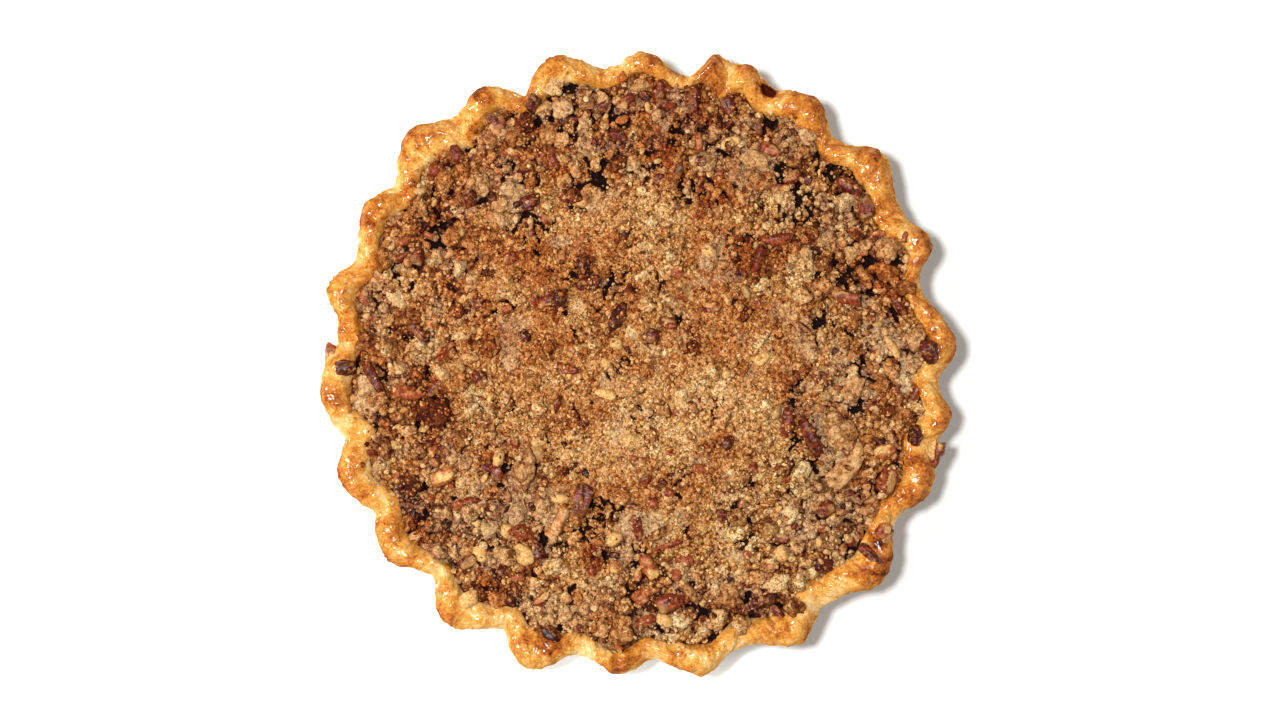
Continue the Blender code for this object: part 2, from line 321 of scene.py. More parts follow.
def corners_of(obj: Object) -> Array:
    """Reads a mesh's corners in millimetres, one row each."""
    read = np.zeros(len(obj.data.vertices) * 3, np.float32)
    obj.data.vertices.foreach_get("co", read)
    return read.reshape(-1, 3).astype(float) / MM


def move_corners(obj: Object, points: Array) -> None:
    """Writes a mesh's corners from millimetres.

    Args:
        obj: The mesh object.
        points: New corners, one row each.
    """
    obj.data.vertices.foreach_set("co", (points * MM).astype(np.float32).ravel())
    obj.data.update()


def spun(name: str, profile: list[tuple[float, float]], steps: int) -> Object:
    """Turns a profile once round the Z axis.

    Args:
        name: The piece's name.
        profile: (radius, height) in millimetres, from the axis and back to it.
        steps: Steps in the full turn.

    Returns:
        The closed, smooth-shaded object, with its faces outwards.
    """
    shape = bmesh.new()
    corners = [shape.verts.new((radius * MM, 0.0, height * MM)) for radius, height in profile]
    edges = [shape.edges.new(pair) for pair in itertools.pairwise(corners)]
    bmesh.ops.spin(
        shape,
        geom=corners + edges,
        cent=(0.0, 0.0, 0.0),
        axis=(0.0, 0.0, 1.0),
        angle=math.tau,
        steps=steps,
        use_merge=True,
    )
    bmesh.ops.remove_doubles(shape, verts=shape.verts, dist=0.001 * MM)
    bmesh.ops.recalc_face_normals(shape, faces=shape.faces)
    return from_shape(name, shape)


def settle(obj: Object, node: str) -> None:
    """Ties a finished piece to the frame and reports it.

    Args:
        obj: The piece.
        node: The CAD node that the piece stands for.
    """
    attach(obj, BODY)
    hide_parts(node)
    log.info("%s: %d faces, stands for %s", obj.name, len(obj.data.polygons), node)


# --------------------------------------------------------------------------------------------
# Noise. A number added to a place only moves the noise, so that no two patterns match.
# --------------------------------------------------------------------------------------------


class GradientNoise:
    """Smooth random values in space, from about -1 to 1."""

    SIZE = 256
    GAIN = 1.5

    def __init__(self, seed: int) -> None:
        """Draws the lattice.

        Args:
            seed: Chooses the pattern.
        """
        draw = np.random.default_rng(seed)
        order = draw.permutation(self.SIZE)
        self.order = np.concatenate([order, order])
        slopes = draw.normal(size=(self.SIZE, 3))
        self.slopes = slopes / np.linalg.norm(slopes, axis=1, keepdims=True)

    def at(self, points: Array, size: float) -> Array:
        """Reads the noise.

        Args:
            points: Places in millimetres, one row each.
            size: Width of one bump in millimetres.

        Returns:
            One value for each place.
        """
        scaled = points / size
        cell = np.floor(scaled).astype(int)
        part = scaled - cell
        fade = part * part * part * (part * (part * 6.0 - 15.0) + 10.0)
        total = np.zeros(len(points))
        for corner in itertools.product((0, 1), repeat=3):
            place = (cell + corner) % self.SIZE
            index = self.order[self.order[self.order[place[:, 0]] + place[:, 1]] + place[:, 2]]
            reach = ((part - corner) * self.slopes[index]).sum(axis=1)
            weight = np.where(np.array(corner, bool), fade, 1.0 - fade).prod(axis=1)
            total += reach * weight
        return total * self.GAIN

    def fractal(self, points: Array, size: float, octaves: int) -> Array:
        """Adds ever finer noise.

        Args:
            points: Places in millimetres, one row each.
            size: Width of the largest bumps in millimetres.
            octaves: How many times the bumps halve.

        Returns:
            One value for each place.
        """
        total = np.zeros(len(points))
        for i in range(octaves):
            total += self.at(points + 17.3 * i, size / 2**i) / 2**i
        return total


def smoothstep(low: float, high: float, values: Array) -> Array:
    """Rises smoothly from 0 at low to 1 at high."""
    share = np.clip((values - low) / (high - low), 0.0, 1.0)
    return share * share * (3.0 - 2.0 * share)


def flat(x: Array, y: Array) -> Array:
    """Puts x and y together as places on the level plane."""
    return np.stack([x, y, np.zeros_like(x)], axis=1)


# --------------------------------------------------------------------------------------------
# Crust
# --------------------------------------------------------------------------------------------


@dataclass(frozen=True)
class EggWashedPastry:
    """Shortcrust brushed with egg and baked.

    The egg gives the eye a thin, uneven varnish with small broken glints. The crust below it runs
    from cream in the pinches over golden orange to chestnut mottles on the lobes, and stays dull and
    floury where no egg ran.
    """

    bake_and_shade: Stops = (
        (0.00, "F4E4C0"),
        (0.16, "EFD5A2"),
        (0.33, "E5B873"),
        (0.50, "D5953F"),
        (0.67, "BD6E27"),
        (0.84, "8C4313"),
        (1.00, "3A1307"),
    )
    mottle_mm: float = 3.2
    mottle_share: float = 0.58
    speckle_mm: float = 0.9
    speckle_share: float = 0.66
    roughness: float = 0.6
    specular: float = 0.0
    coat_roughness: float = 0.1
    coat_ior: float = 1.5
    blister_mm: float = 1.7
    blister_height: float = 0.5
    ripple_mm: float = 1.7
    ripple_height: float = 0.30

    def material(self) -> Material:
        """Builds the material."""
        material, tree, shader = new_material("egg_washed_pastry")
        place = object_place(tree)
        # The level holds painted shade on the side of the crust turned away from the lights.
        level = attribute(tree, "bake_and_shade")
        level = shifted_by(tree, level, noise_at(tree, place, self.mottle_mm, 5.0), self.mottle_share)
        level = shifted_by(tree, level, noise_at(tree, place, self.speckle_mm, 3.0), self.speckle_share)
        blisters = noise_at(tree, place, self.blister_mm, 5.0)
        ripples = noise_at(tree, place, self.ripple_mm, 1.0)
        inputs = {
            "Base Color": ramped(tree, level, self.bake_and_shade),
            "Roughness": self.roughness,
            "Specular IOR Level": self.specular,
            "Coat Weight": attribute(tree, "glaze"),
            "Coat Roughness": self.coat_roughness,
            "Coat IOR": self.coat_ior,
            "Normal": relief(tree, blisters, self.blister_height),
            "Coat Normal": relief(tree, ripples, self.ripple_height),
        }
        feed(tree, shader, inputs)
        return material


@dataclass(frozen=True)
class Flute:
    """One lobe of the rim and the pinch that follows it, anticlockwise from +X.

    A bow below 1 fills that flank of the lobe out, one above 1 hollows it. The lobe's brown says how
    far it baked beyond the rest, from -1 to 1.
    """

    lobe_deg: float
    lobe_reach: float
    pinch_deg: float
    pinch_reach: float
    bow_before: float
    bow_after: float
    brown: float = 0.0


@dataclass(frozen=True)
class Mark:
    """A dent, a burn, a patch or a mound: its middle and size in millimetres, turn and strength."""

    x: float
    y: float
    length: float
    width: float
    turn_deg: float
    strength: float = 1.0

    def away(self, x: Array, y: Array) -> Array:
        """Says how far each place is from the middle, as a share of the mark's reach that way."""
        turn = math.radians(self.turn_deg)
        along = (x - self.x) * math.cos(turn) + (y - self.y) * math.sin(turn)
        across = (y - self.y) * math.cos(turn) - (x - self.x) * math.sin(turn)
        return np.hypot(along / (0.5 * self.length), across / (0.5 * self.width))

    def share(self, x: Array, y: Array, wobble: Array | float = 0.0) -> Array:
        """Says how far inside the mark each place is, from 0 to 1.

        Args:
            x: Places across.
            y: Places along.
            wobble: Roughens the mark's edge.

        Returns:
            One value for each place.
        """
        return 1.0 - smoothstep(0.65, 1.25, self.away(x, y) + wobble)


def marks(*rows: tuple[float, ...]) -> tuple[Mark, ...]:
    """Makes marks from rows of place, size, turn and strength."""
    return tuple(Mark(*row) for row in rows)


# Spots of the crust that caught, and patches that baked browner.
BURNS = marks(
    (51.9, 108.9, 9, 4.8, -26, 0.52), (110.3, -38.6, 3, 7, 70, 0.12), (2, -119.5, 7, 5, -30, 0.10),
    (96, -70, 9, 8, 50, 0.30), (-66, 93, 9, 4, 50, 0.22), (-93, 70, 13, 4, 55, 0.20),
    (-100, 52, 10, 4, 60, 0.16), (-111, 46, 36, 18, 67, 0.05), (-118, 16, 14, 16, 82, 0.15),
    (115, 24.5, 16, 12, 102, 0.10), (-36.5, -112, 17, 9, -18, 0.26), (-4, -117, 13, 7, -2, 0.16),
)
# Dents in the rim; the strength is their depth in millimetres.
DENTS = marks(
    (-7.5, -118.6, 5.5, 5, 0, 1.9), (33, 117, 4, 7, 15, 1.4), (-35, 112.5, 5, 3, 70, 0.9),
    (89, -84, 5, 4, 0, 0.8),
)


@dataclass
class FlutedCrust:
    """The pastry case, whose rim is a roll pushed out into lobes and pinched in between them."""

    flutes: tuple[Flute, ...] = (
        # lobe deg, reach, pinch deg, reach, bow before, bow after, brown
        Flute(4.0, 127.8, 14.5, 117.4, 0.75, 1.05, 0.25),
        Flute(22.5, 127.8, 30.0, 122.0, 1.60, 1.00, -0.1),
        Flute(40.5, 129.8, 49.0, 120.0, 1.20, 1.30, 0.3),
        Flute(56.0, 128.2, 64.0, 122.8, 0.75, 0.90, 0.0),
        Flute(69.2, 128.2, 72.4, 126.2, 1.20, 0.90, -0.05),
        Flute(75.6, 128.2, 80.5, 117.4, 0.50, 1.70, 0.45),
        Flute(89.0, 124.2, 96.5, 119.8, 0.90, 1.80, -0.2),
        Flute(105.0, 127.6, 113.0, 116.6, 0.95, 0.50, 0.15),
        Flute(120.5, 127.6, 127.0, 123.4, 0.50, 1.00, 0.4),
        Flute(134.5, 131.3, 144.0, 121.8, 0.65, 0.95, 0.3),
        Flute(149.5, 127.0, 160.0, 121.4, 0.70, 1.00, 0.25),
        Flute(166.5, 128.6, 174.5, 121.0, 0.75, 1.35, 0.2),
        Flute(185.5, 128.4, 194.0, 122.2, 0.80, 0.60, 0.25),
        Flute(201.0, 129.2, 209.5, 122.6, 1.05, 0.65, 0.45),
        Flute(217.0, 128.4, 226.0, 119.0, 0.70, 0.85, 0.6),
        Flute(233.5, 130.0, 243.5, 119.8, 0.75, 0.90, 0.15),
        Flute(250.0, 130.2, 259.0, 119.0, 0.42, 0.95, 0.15),
        Flute(265.5, 124.8, 272.0, 119.2, 1.05, 0.45, 0.3),
        Flute(281.5, 127.8, 290.5, 121.6, 1.35, 1.15, 0.0),
        Flute(300.0, 129.8, 307.5, 122.6, 1.30, 0.95, -0.1),
        Flute(318.5, 131.5, 329.5, 121.0, 1.40, 1.10, 0.5),
        Flute(336.0, 128.4, 344.5, 122.6, 0.90, 0.95, 0.0),
        Flute(350.0, 127.4, 356.8, 121.4, 0.60, 1.70, 0.35),
    )
    rim_reach: float = 124.6
    half_width: float = 5.9
    half_height: float = 6.2
    roll_top: float = 47.5
    rim_under: float = 36.5
    inner_mean: float = 112.6
    inner_swing: float = 5.4
    inner_wander: float = 2.2
    lobe_lift: float = 1.0
    pinch_dip: float = 2.3
    crest_wander: float = 0.7
    droop_from: float = 120.0
    droop_share: float = 0.28
    recess_floor: float = 38.0
    steps: int = 1200
    roll_points: int = 58
    skin_shrink: float = 0.2
    fold_mm: float = 10.0
    fold_height: float = 1.1
    lump_mm: float = 4.6
    lump_height: float = 0.75
    wrinkle_mm: float = 2.6
    wrinkle_length_mm: float = 9.0
    wrinkle_height: float = 0.6
    crease_mm: float = 1.5
    crease_depth: float = 1.5
    layer_mm: float = 1.3
    layer_height: float = 0.32
    crest_radius: float = 118.0
    crease_lean: float = 0.012
    rim_width: float = 13.0
    wrinkle_bend: float = 3.0
    # How brown the crust is, from 0 to 1: everywhere, then what each thing adds to it.
    # The side term is painted shade, darker towards the side turned away from the lights.
    bake_mean: float = 0.30
    bake_lobe: float = 0.17
    bake_brown: float = 0.05
    bake_brown_lobe: float = 0.20
    bake_blotch: float = 0.22
    bake_ridge: float = 0.08
    bake_crest: float = 0.10
    bake_unwashed: float = -0.22
    painted_side_shade: float = 0.06
    painted_side_shade_deg: float = 30.0
    bake_inner: float = 0.10
    inner_band: tuple[float, float] = (119.0, 111.0)
    bake_below_rim: float = 0.3
    glaze_least: float = 0.35
    rim_corner: tuple[tuple[float, float], ...] = ((1.7, 37.7), (3.2, 36.9), (5.6, 36.5))
    case_profile: tuple[tuple[float, float], ...] = (
        (105.5, 36.5),
        (86.0, 4.5),
        (80.7, 1.3),
        (0.0, 1.3),
    )
    finish: EggWashedPastry = EggWashedPastry()
    wide_noise: GradientNoise = field(default_factory=lambda: GradientNoise(3))
    fine_noise: GradientNoise = field(default_factory=lambda: GradientNoise(4))

    def reach(self, turn: Array) -> tuple[Array, Array, Array]:
        """Reads the rim's outline.

        Args:
            turn: Angles in radians.

        Returns:
            The reach from the axis, how much of a lobe it is from 0 to 1, and the flute's brown.
        """
        degrees = np.degrees(turn) % 360.0
        before = np.roll([f.bow_before for f in self.flutes], -1)
        rows = [(f.lobe_deg, f.lobe_reach, f.brown, f.bow_after, 1.0) for f in self.flutes]
        rows += [(f.pinch_deg, f.pinch_reach, f.brown, bow, 0.0) for f, bow in zip(self.flutes, before)]
        angles, reaches, browns, bows, lobes = np.array(sorted(rows)).T
        is_lobe = lobes > 0.5
        start = (np.searchsorted(angles, degrees, side="right") - 1) % len(angles)
        end = (start + 1) % len(angles)
        span = (angles[end] - angles[start]) % 360.0
        along = ((degrees - angles[start]) % 360.0) / span
        share = 0.5 - 0.5 * np.cos(np.pi * along)
        lobe = np.where(is_lobe[start], 1.0 - share, share)
        low = np.where(is_lobe[start], reaches[end], reaches[start])
        high = np.where(is_lobe[start], reaches[start], reaches[end])
        brown = browns[start] * (1.0 - share) + browns[end] * share
        return low + (high - low) * lobe ** bows[start], lobe**0.8, brown

    def inner_edge(self, turn: Array) -> Array:
        """Reads the radius of the rim's inner edge, where the crumble starts.

        Args:
            turn: Angles in radians.

        Returns:
            One radius for each angle.
        """
        ring = flat(self.inner_mean * np.cos(turn), self.inner_mean * np.sin(turn))
        wander = self.inner_wander * self.wide_noise.at(ring + 9.0, 11.0)
        return self.inner_mean + self.inner_swing * (self.reach(turn)[1] - 0.5) + wander

    def profile(self) -> list[tuple[float, float]]:
        """Works out the section: recess floor, roll, underside and the case inside the tin.

        Returns:
            (radius, height) points in millimetres.
        """
        centre = self.rim_reach - self.half_width
        middle = self.roll_top - self.half_height
        points = [(0.0, self.recess_floor), (self.rim_reach - 2 * self.half_width, self.recess_floor)]
        for degrees in np.linspace(178.0, -24.0, self.roll_points):
            turn = math.radians(degrees)
            radius = centre + self.half_width * math.cos(turn)
            points.append((radius, middle + self.half_height * math.sin(turn)))
        points += [(self.rim_reach - inset, height) for inset, height in self.rim_corner]
        return points + list(self.case_profile)

    def creases(self, turn: Array, height: Array) -> Array:
        """Says how deep in the crease of a pinch each corner is, from 0 to 1."""
        deep = np.zeros(len(turn))
        for flute in self.flutes:
            way = 1.0 if flute.bow_after < 1.0 else -1.0
            lean = self.crease_lean * (height - self.roll_top) * way
            away = (turn - math.radians(flute.pinch_deg) + lean + math.pi) % math.tau - math.pi
            deep = np.maximum(deep, np.exp(-((away * self.rim_reach / self.crease_mm) ** 2)))
        return deep

    def build(self) -> Object:
        """Spins the case, crimps its rim, raises its folds and stores its bake and painted shade.

        Returns:
            The crust.
        """
        crust = spun("pastry_crust", self.profile(), self.steps)
        points = corners_of(crust)
        radius = np.hypot(points[:, 0], points[:, 1])
        turn = np.arctan2(points[:, 1], points[:, 0])
        rim = points[:, 2] > self.rim_under - 0.1
        rim &= radius > self.rim_reach - 2 * self.half_width - 0.2
        reach, lobe, brown = self.reach(turn)
        inner = self.inner_edge(turn)
        up = (points[:, 2] - self.rim_under + 0.5) / (self.roll_top - self.rim_under + 0.5)
        across = (radius - self.rim_reach) / (2.0 * self.half_width) + 1.0
        out = np.clip(2.0 * across - 1.0, 0.0, 1.0)
        above = points[:, 2] - self.roll_top + self.half_height
        section = np.arctan2(above, radius - self.rim_reach + self.half_width)
        moved_radius = inner + (reach - inner) * across
        x, y = moved_radius * np.cos(turn), moved_radius * np.sin(turn)
        ring = flat(self.crest_radius * np.cos(turn), self.crest_radius * np.sin(turn))
        crest = self.lobe_lift * lobe - self.pinch_dip * (1.0 - lobe) ** 1.3
        crest += self.crest_wander * self.wide_noise.at(ring - 31.0, 13.0)
        overhang = np.maximum(0.0, reach - self.droop_from)
        droop = self.droop_share * overhang * out * np.clip(1.0 - up, 0.0, 1.0)
        moved = np.stack([x, y, points[:, 2] + crest * smoothstep(0.1, 0.9, up) - droop], axis=1)
        folds = self.fold_height * self.wide_noise.at(moved, self.fold_mm)
        lumps = self.lump_height * self.wide_noise.at(moved + 60.0, self.lump_mm)
        inward = across * self.rim_width * self.wrinkle_mm / self.wrinkle_length_mm
        stretched = np.stack([turn * self.rim_reach, inward, 0.2 * points[:, 2]], axis=1)
        stretched[:, 0] += self.wrinkle_bend * self.wide_noise.at(moved - 14.0, 9.0)
        wrinkles = 1.0 - 2.0 * np.abs(self.fine_noise.at(stretched, self.wrinkle_mm))
        layers = self.fine_noise.at(moved * (0.25, 0.25, 1.0), self.layer_mm)
        facing_up = np.sin(section)
        egg = smoothstep(-0.35, 0.35, facing_up + 0.25 * self.wide_noise.at(moved, 6.0))
        push = folds + lumps + self.wrinkle_height * (wrinkles - 0.5) * egg
        push += self.layer_height * layers * (1.0 - egg)
        push -= self.crease_depth * self.creases(turn, points[:, 2]) * smoothstep(0.25, 0.8, across)
        for dent in DENTS:
            push -= dent.strength * dent.share(x, y)
        push *= smoothstep(0.0, 0.25, up)
        level = np.cos(section)
        outward = np.stack([level * np.cos(turn), level * np.sin(turn), np.sin(section)], axis=1)
        moved += outward * (push - self.skin_shrink)[:, None]
        points[rim] = moved[rim]
        move_corners(crust, points)
        bulge = lobe * smoothstep(-0.1, 0.5, across)
        self.store_bake_and_shade(crust, points, bulge, brown, facing_up, egg, wrinkles, rim)
        crust.data.materials.append(self.finish.material())
        return crust

    def store_bake_and_shade(
        self,
        crust: Object,
        points: Array,
        lobe: Array,
        brown: Array,
        facing_up: Array,
        egg: Array,
        wrinkles: Array,
        rim: Array,
    ) -> None:
        """Stores how brown and how glazed each corner is, with painted shade away from the lights.

        Args:
            crust: The crust.
            points: Its corners in millimetres.
            lobe: How far out on a lobe each is, from 0 to 1.
            brown: The flute's own brown.
            facing_up: 1 on the crest, 0 half way down, -1 below.
            egg: Where the egg wash is.
            wrinkles: Ridges of the wrinkled skin, at most 1.
            rim: Which corners lie on the rim.
        """
        x, y = points[:, 0], points[:, 1]
        blotch = self.wide_noise.fractal(points + 50.0, 10.0, 3)
        bake_and_shade = self.bake_mean + self.bake_lobe * lobe
        bake_and_shade += brown * (self.bake_brown + self.bake_brown_lobe * lobe)
        bake_and_shade += self.bake_blotch * blotch + self.bake_ridge * wrinkles
        bake_and_shade += self.bake_crest * smoothstep(0.0, 0.5, facing_up)
        bake_and_shade += self.bake_unwashed * (1.0 - egg)
        # Painted shade: darker towards the side turned away from the lights.
        bake_and_shade += self.painted_side_shade * np.cos(np.arctan2(y, x) - math.radians(self.painted_side_shade_deg))
        bake_and_shade += self.bake_inner * smoothstep(*self.inner_band, np.hypot(x, y))
        wobble = 0.45 * self.fine_noise.fractal(points, 3.0, 3)
        burnt = np.zeros(len(points))
        for mark in BURNS:
            burnt += mark.strength * mark.share(x, y, wobble)
        patches = smoothstep(-0.35, 0.15, self.fine_noise.at(points + 80.0, 4.5))
        dry = np.clip(1.0 - 1.6 * burnt, 0.0, 1.0)
        set_attribute(crust, "bake_and_shade", np.where(rim, bake_and_shade + burnt, self.bake_below_rim))
        normals = np.zeros(len(points) * 3, np.float32)
        crust.data.vertices.foreach_get("normal", normals)
        even = self.glaze_least + (1.0 - self.glaze_least) * patches
        shiny = egg * dry * smoothstep(0.45, 0.85, normals[2::3]) * even
        set_attribute(crust, "glaze", np.where(rim, shiny, 0.0))


# --------------------------------------------------------------------------------------------
# Crumble
# --------------------------------------------------------------------------------------------


@dataclass(frozen=True)
class CrumbFinish:
    """Baked crumble of butter, flour and brown sugar.

    The eye sees matt, rough grains, golden where the butter browned them and greyish beige where the
    flour stayed dry. Small dark pores in between are painted shade, as are, where pit_share is set,
    the dips between the cells that the bump sinks. Tone picks the colour, toast browns it, flour greys
    it and fills the pores, and the drift of tone and the pores are shared by all kinds of crumb, so
    that they melt into each other.
    """

    name: str
    tones: Stops
    toasted: str = "E09C6C"
    floury: str = "CDB68C"
    grain_mm: float = 0.7
    grain_height: float = 0.3
    grain_share: float = 0.7
    drift_mm: float = 3.4
    drift_share: float = 0.75
    speck_mm: float = 1.5
    speck_share: float = 0.75
    # Painted shade: dark pores, and dark dips between the cells, in the pit colour.
    pore_mm: float = 0.85
    pore_share: float = 0.8
    cell_mm: float = 1.5
    cell_height: float = 0.4
    cell_share: float = 0.4
    pit_share: float = 0.0
    pit_shade: str = "34140A"
    lit_band: tuple[float, float] = (0.15, 0.5)
    pore_band: tuple[float, float] = (0.42, 0.30)
    pit_band: tuple[float, float] = (0.52, 0.80)
    flour_fill: float = 0.8
    roughness: float = 0.85
    specular: float = 0.15

    def darkened(
        self, tree: Tree, colour: Socket, depth: Socket, band: tuple[float, float], share: Socket
    ) -> Socket:
        """Paints shade: darkens a colour where a depth runs through a band.

        Args:
            tree: The node tree.
            colour: The colour.
            depth: How deep each place lies.
            band: Depths at which the darkening starts and is full.
            share: How dark it gets there, from 0 to 1.

        Returns:
            The darkened colour.
        """
        return mixed(tree, ranged(tree, depth, *band, share), colour, linear(self.pit_shade))

    def material(self) -> Material:
        """Builds the material."""
        material, tree, shader = new_material(self.name)
        place = object_place(tree)
        flour = attribute(tree, "flour")
        grain = noise_at(tree, place, self.grain_mm, 3.0)
        level = attribute(tree, "tone")
        level = shifted_by(tree, level, noise_at(tree, place, self.drift_mm, 2.0), self.drift_share)
        level = shifted_by(tree, level, noise_at(tree, place, self.speck_mm, 1.0), self.speck_share)
        level = shifted_by(tree, level, grain, self.grain_share)
        height, reach = grain, self.grain_height
        if self.pit_share:
            scale = 1.0 / (self.cell_mm * MM)
            cells = add_node(tree, "ShaderNodeTexVoronoi", {"Vector": place, "Scale": scale})
            level = shifted_by(tree, level, cells.outputs["Color"], self.cell_share)
        colour = ramped(tree, level, self.tones)
        colour = mixed(tree, attribute(tree, "toast"), colour, linear(self.toasted), "MULTIPLY")
        dusted = maths(tree, "MULTIPLY", flour, ranged(tree, level, *self.lit_band))
        colour = mixed(tree, dusted, colour, linear(self.floury))
        # Painted shade in the pores, less where flour fills them.
        open_share = maths(tree, "MULTIPLY_ADD", flour, -self.flour_fill, 1.0)
        share = maths(tree, "MULTIPLY", open_share, self.pore_share)
        pores = noise_at(tree, place, self.pore_mm, 1.0)
        colour = self.darkened(tree, colour, pores, self.pore_band, share)
        if self.pit_share:
            # Painted shade in the dips between the cells, which the bump sinks.
            depth = cells.outputs["Distance"]
            share = maths(tree, "MULTIPLY", open_share, self.pit_share)
            colour = self.darkened(tree, colour, depth, self.pit_band, share)
            height, reach = maths(tree, "MULTIPLY_ADD", depth, -1.0, grain), self.cell_height
        inputs = {
            "Base Color": colour,
            "Roughness": self.roughness,
            "Specular IOR Level": self.specular,
            "Normal": relief(tree, height, reach),
        }
        feed(tree, shader, inputs)
        return material


@dataclass(frozen=True)
class PecanFinish:
    """Chopped, roasted pecan.

    The papery skin runs from near black maroon to rust within one nut, with small glints of nut oil on
    the wrinkles that run across it and crumb dust stuck to it, and the broken flesh is cream and matt.
    Tone picks the skin's colour, flesh says where the broken faces are, dust how dusty the nut is, and
    along counts millimetres along it.
    """

    skins: Stops = (
        (0.0, "1E0807"),
        (0.2, "47130C"),
        (0.42, "752A15"),
        (0.62, "96461F"),
        (0.82, "B5753F"),
        (1.0, "D6AC72"),
    )
    flesh: Stops = ((0.25, "A8692F"), (0.5, "D3A25C"), (0.75, "EBCB92"))
    roughness: float = 0.34
    flesh_roughness: float = 0.5
    specular: float = 0.24
    drift_mm: float = 2.6
    drift_share: float = 0.85
    ridge_mm: float = 0.9
    ridge_share: float = 0.28
    ridge_height: float = 0.18
    streak_mm: float = 0.9
    streak_share: float = 0.5
    dust: str = "C08A50"
    dust_mm: float = 1.5
    dust_band: tuple[float, float] = (0.55, 0.64)

    def material(self) -> Material:
        """Builds the material."""
        material, tree, shader = new_material("roasted_pecan")
        place = object_place(tree)
        cut = attribute(tree, "flesh")
        streak = noise_at(tree, place, self.streak_mm, 3.0)
        level = attribute(tree, "tone")
        level = shifted_by(tree, level, noise_at(tree, place, self.drift_mm, 1.0), self.drift_share)
        level = shifted_by(tree, level, streak, self.streak_share)
        along = shifted_by(tree, attribute(tree, "along"), streak, self.ridge_mm)
        inputs = {"W": along, "Scale": 1.0 / self.ridge_mm, "Detail": 1.0}
        ridges = add_node(tree, "ShaderNodeTexNoise", inputs, noise_dimensions="1D").outputs["Fac"]
        level = shifted_by(tree, level, ridges, self.ridge_share)
        dusty = ranged(tree, noise_at(tree, place, self.dust_mm, 3.0), *self.dust_band)
        dusty = maths(tree, "MULTIPLY", dusty, attribute(tree, "dust"))
        skin = mixed(tree, dusty, ramped(tree, level, self.skins), linear(self.dust))
        inputs = {
            "Base Color": mixed(tree, cut, skin, ramped(tree, streak, self.flesh)),
            "Roughness": maths(tree, "MULTIPLY_ADD", cut, self.flesh_roughness, self.roughness),
            "Specular IOR Level": self.specular,
            "Normal": relief(tree, ridges, self.ridge_height),
        }
        feed(tree, shader, inputs)
        return material


class PieceKind(Enum):
    """What a named piece of the topping is."""

    PECAN = "pecan"
    CHIP = "chip"
    CLUMP = "clump"
    DOUGH = "dough"


@dataclass(frozen=True)
class NamedPiece:
    """One of the larger clumps or nuts: where it lies, its size in millimetres and its colour.

    The tone runs from 0, the darkest of its kind, to 1, the palest.
    """

    kind: PieceKind
    x: float
    y: float
    length: float
    width: float
    turn_deg: float
    tone: float = 0.5


def named(kind: PieceKind, *rows: tuple[float, ...]) -> tuple[NamedPiece, ...]:
    """Makes the named pieces of one kind from rows of place, size, turn and tone."""
    return tuple(NamedPiece(kind, *row) for row in rows)


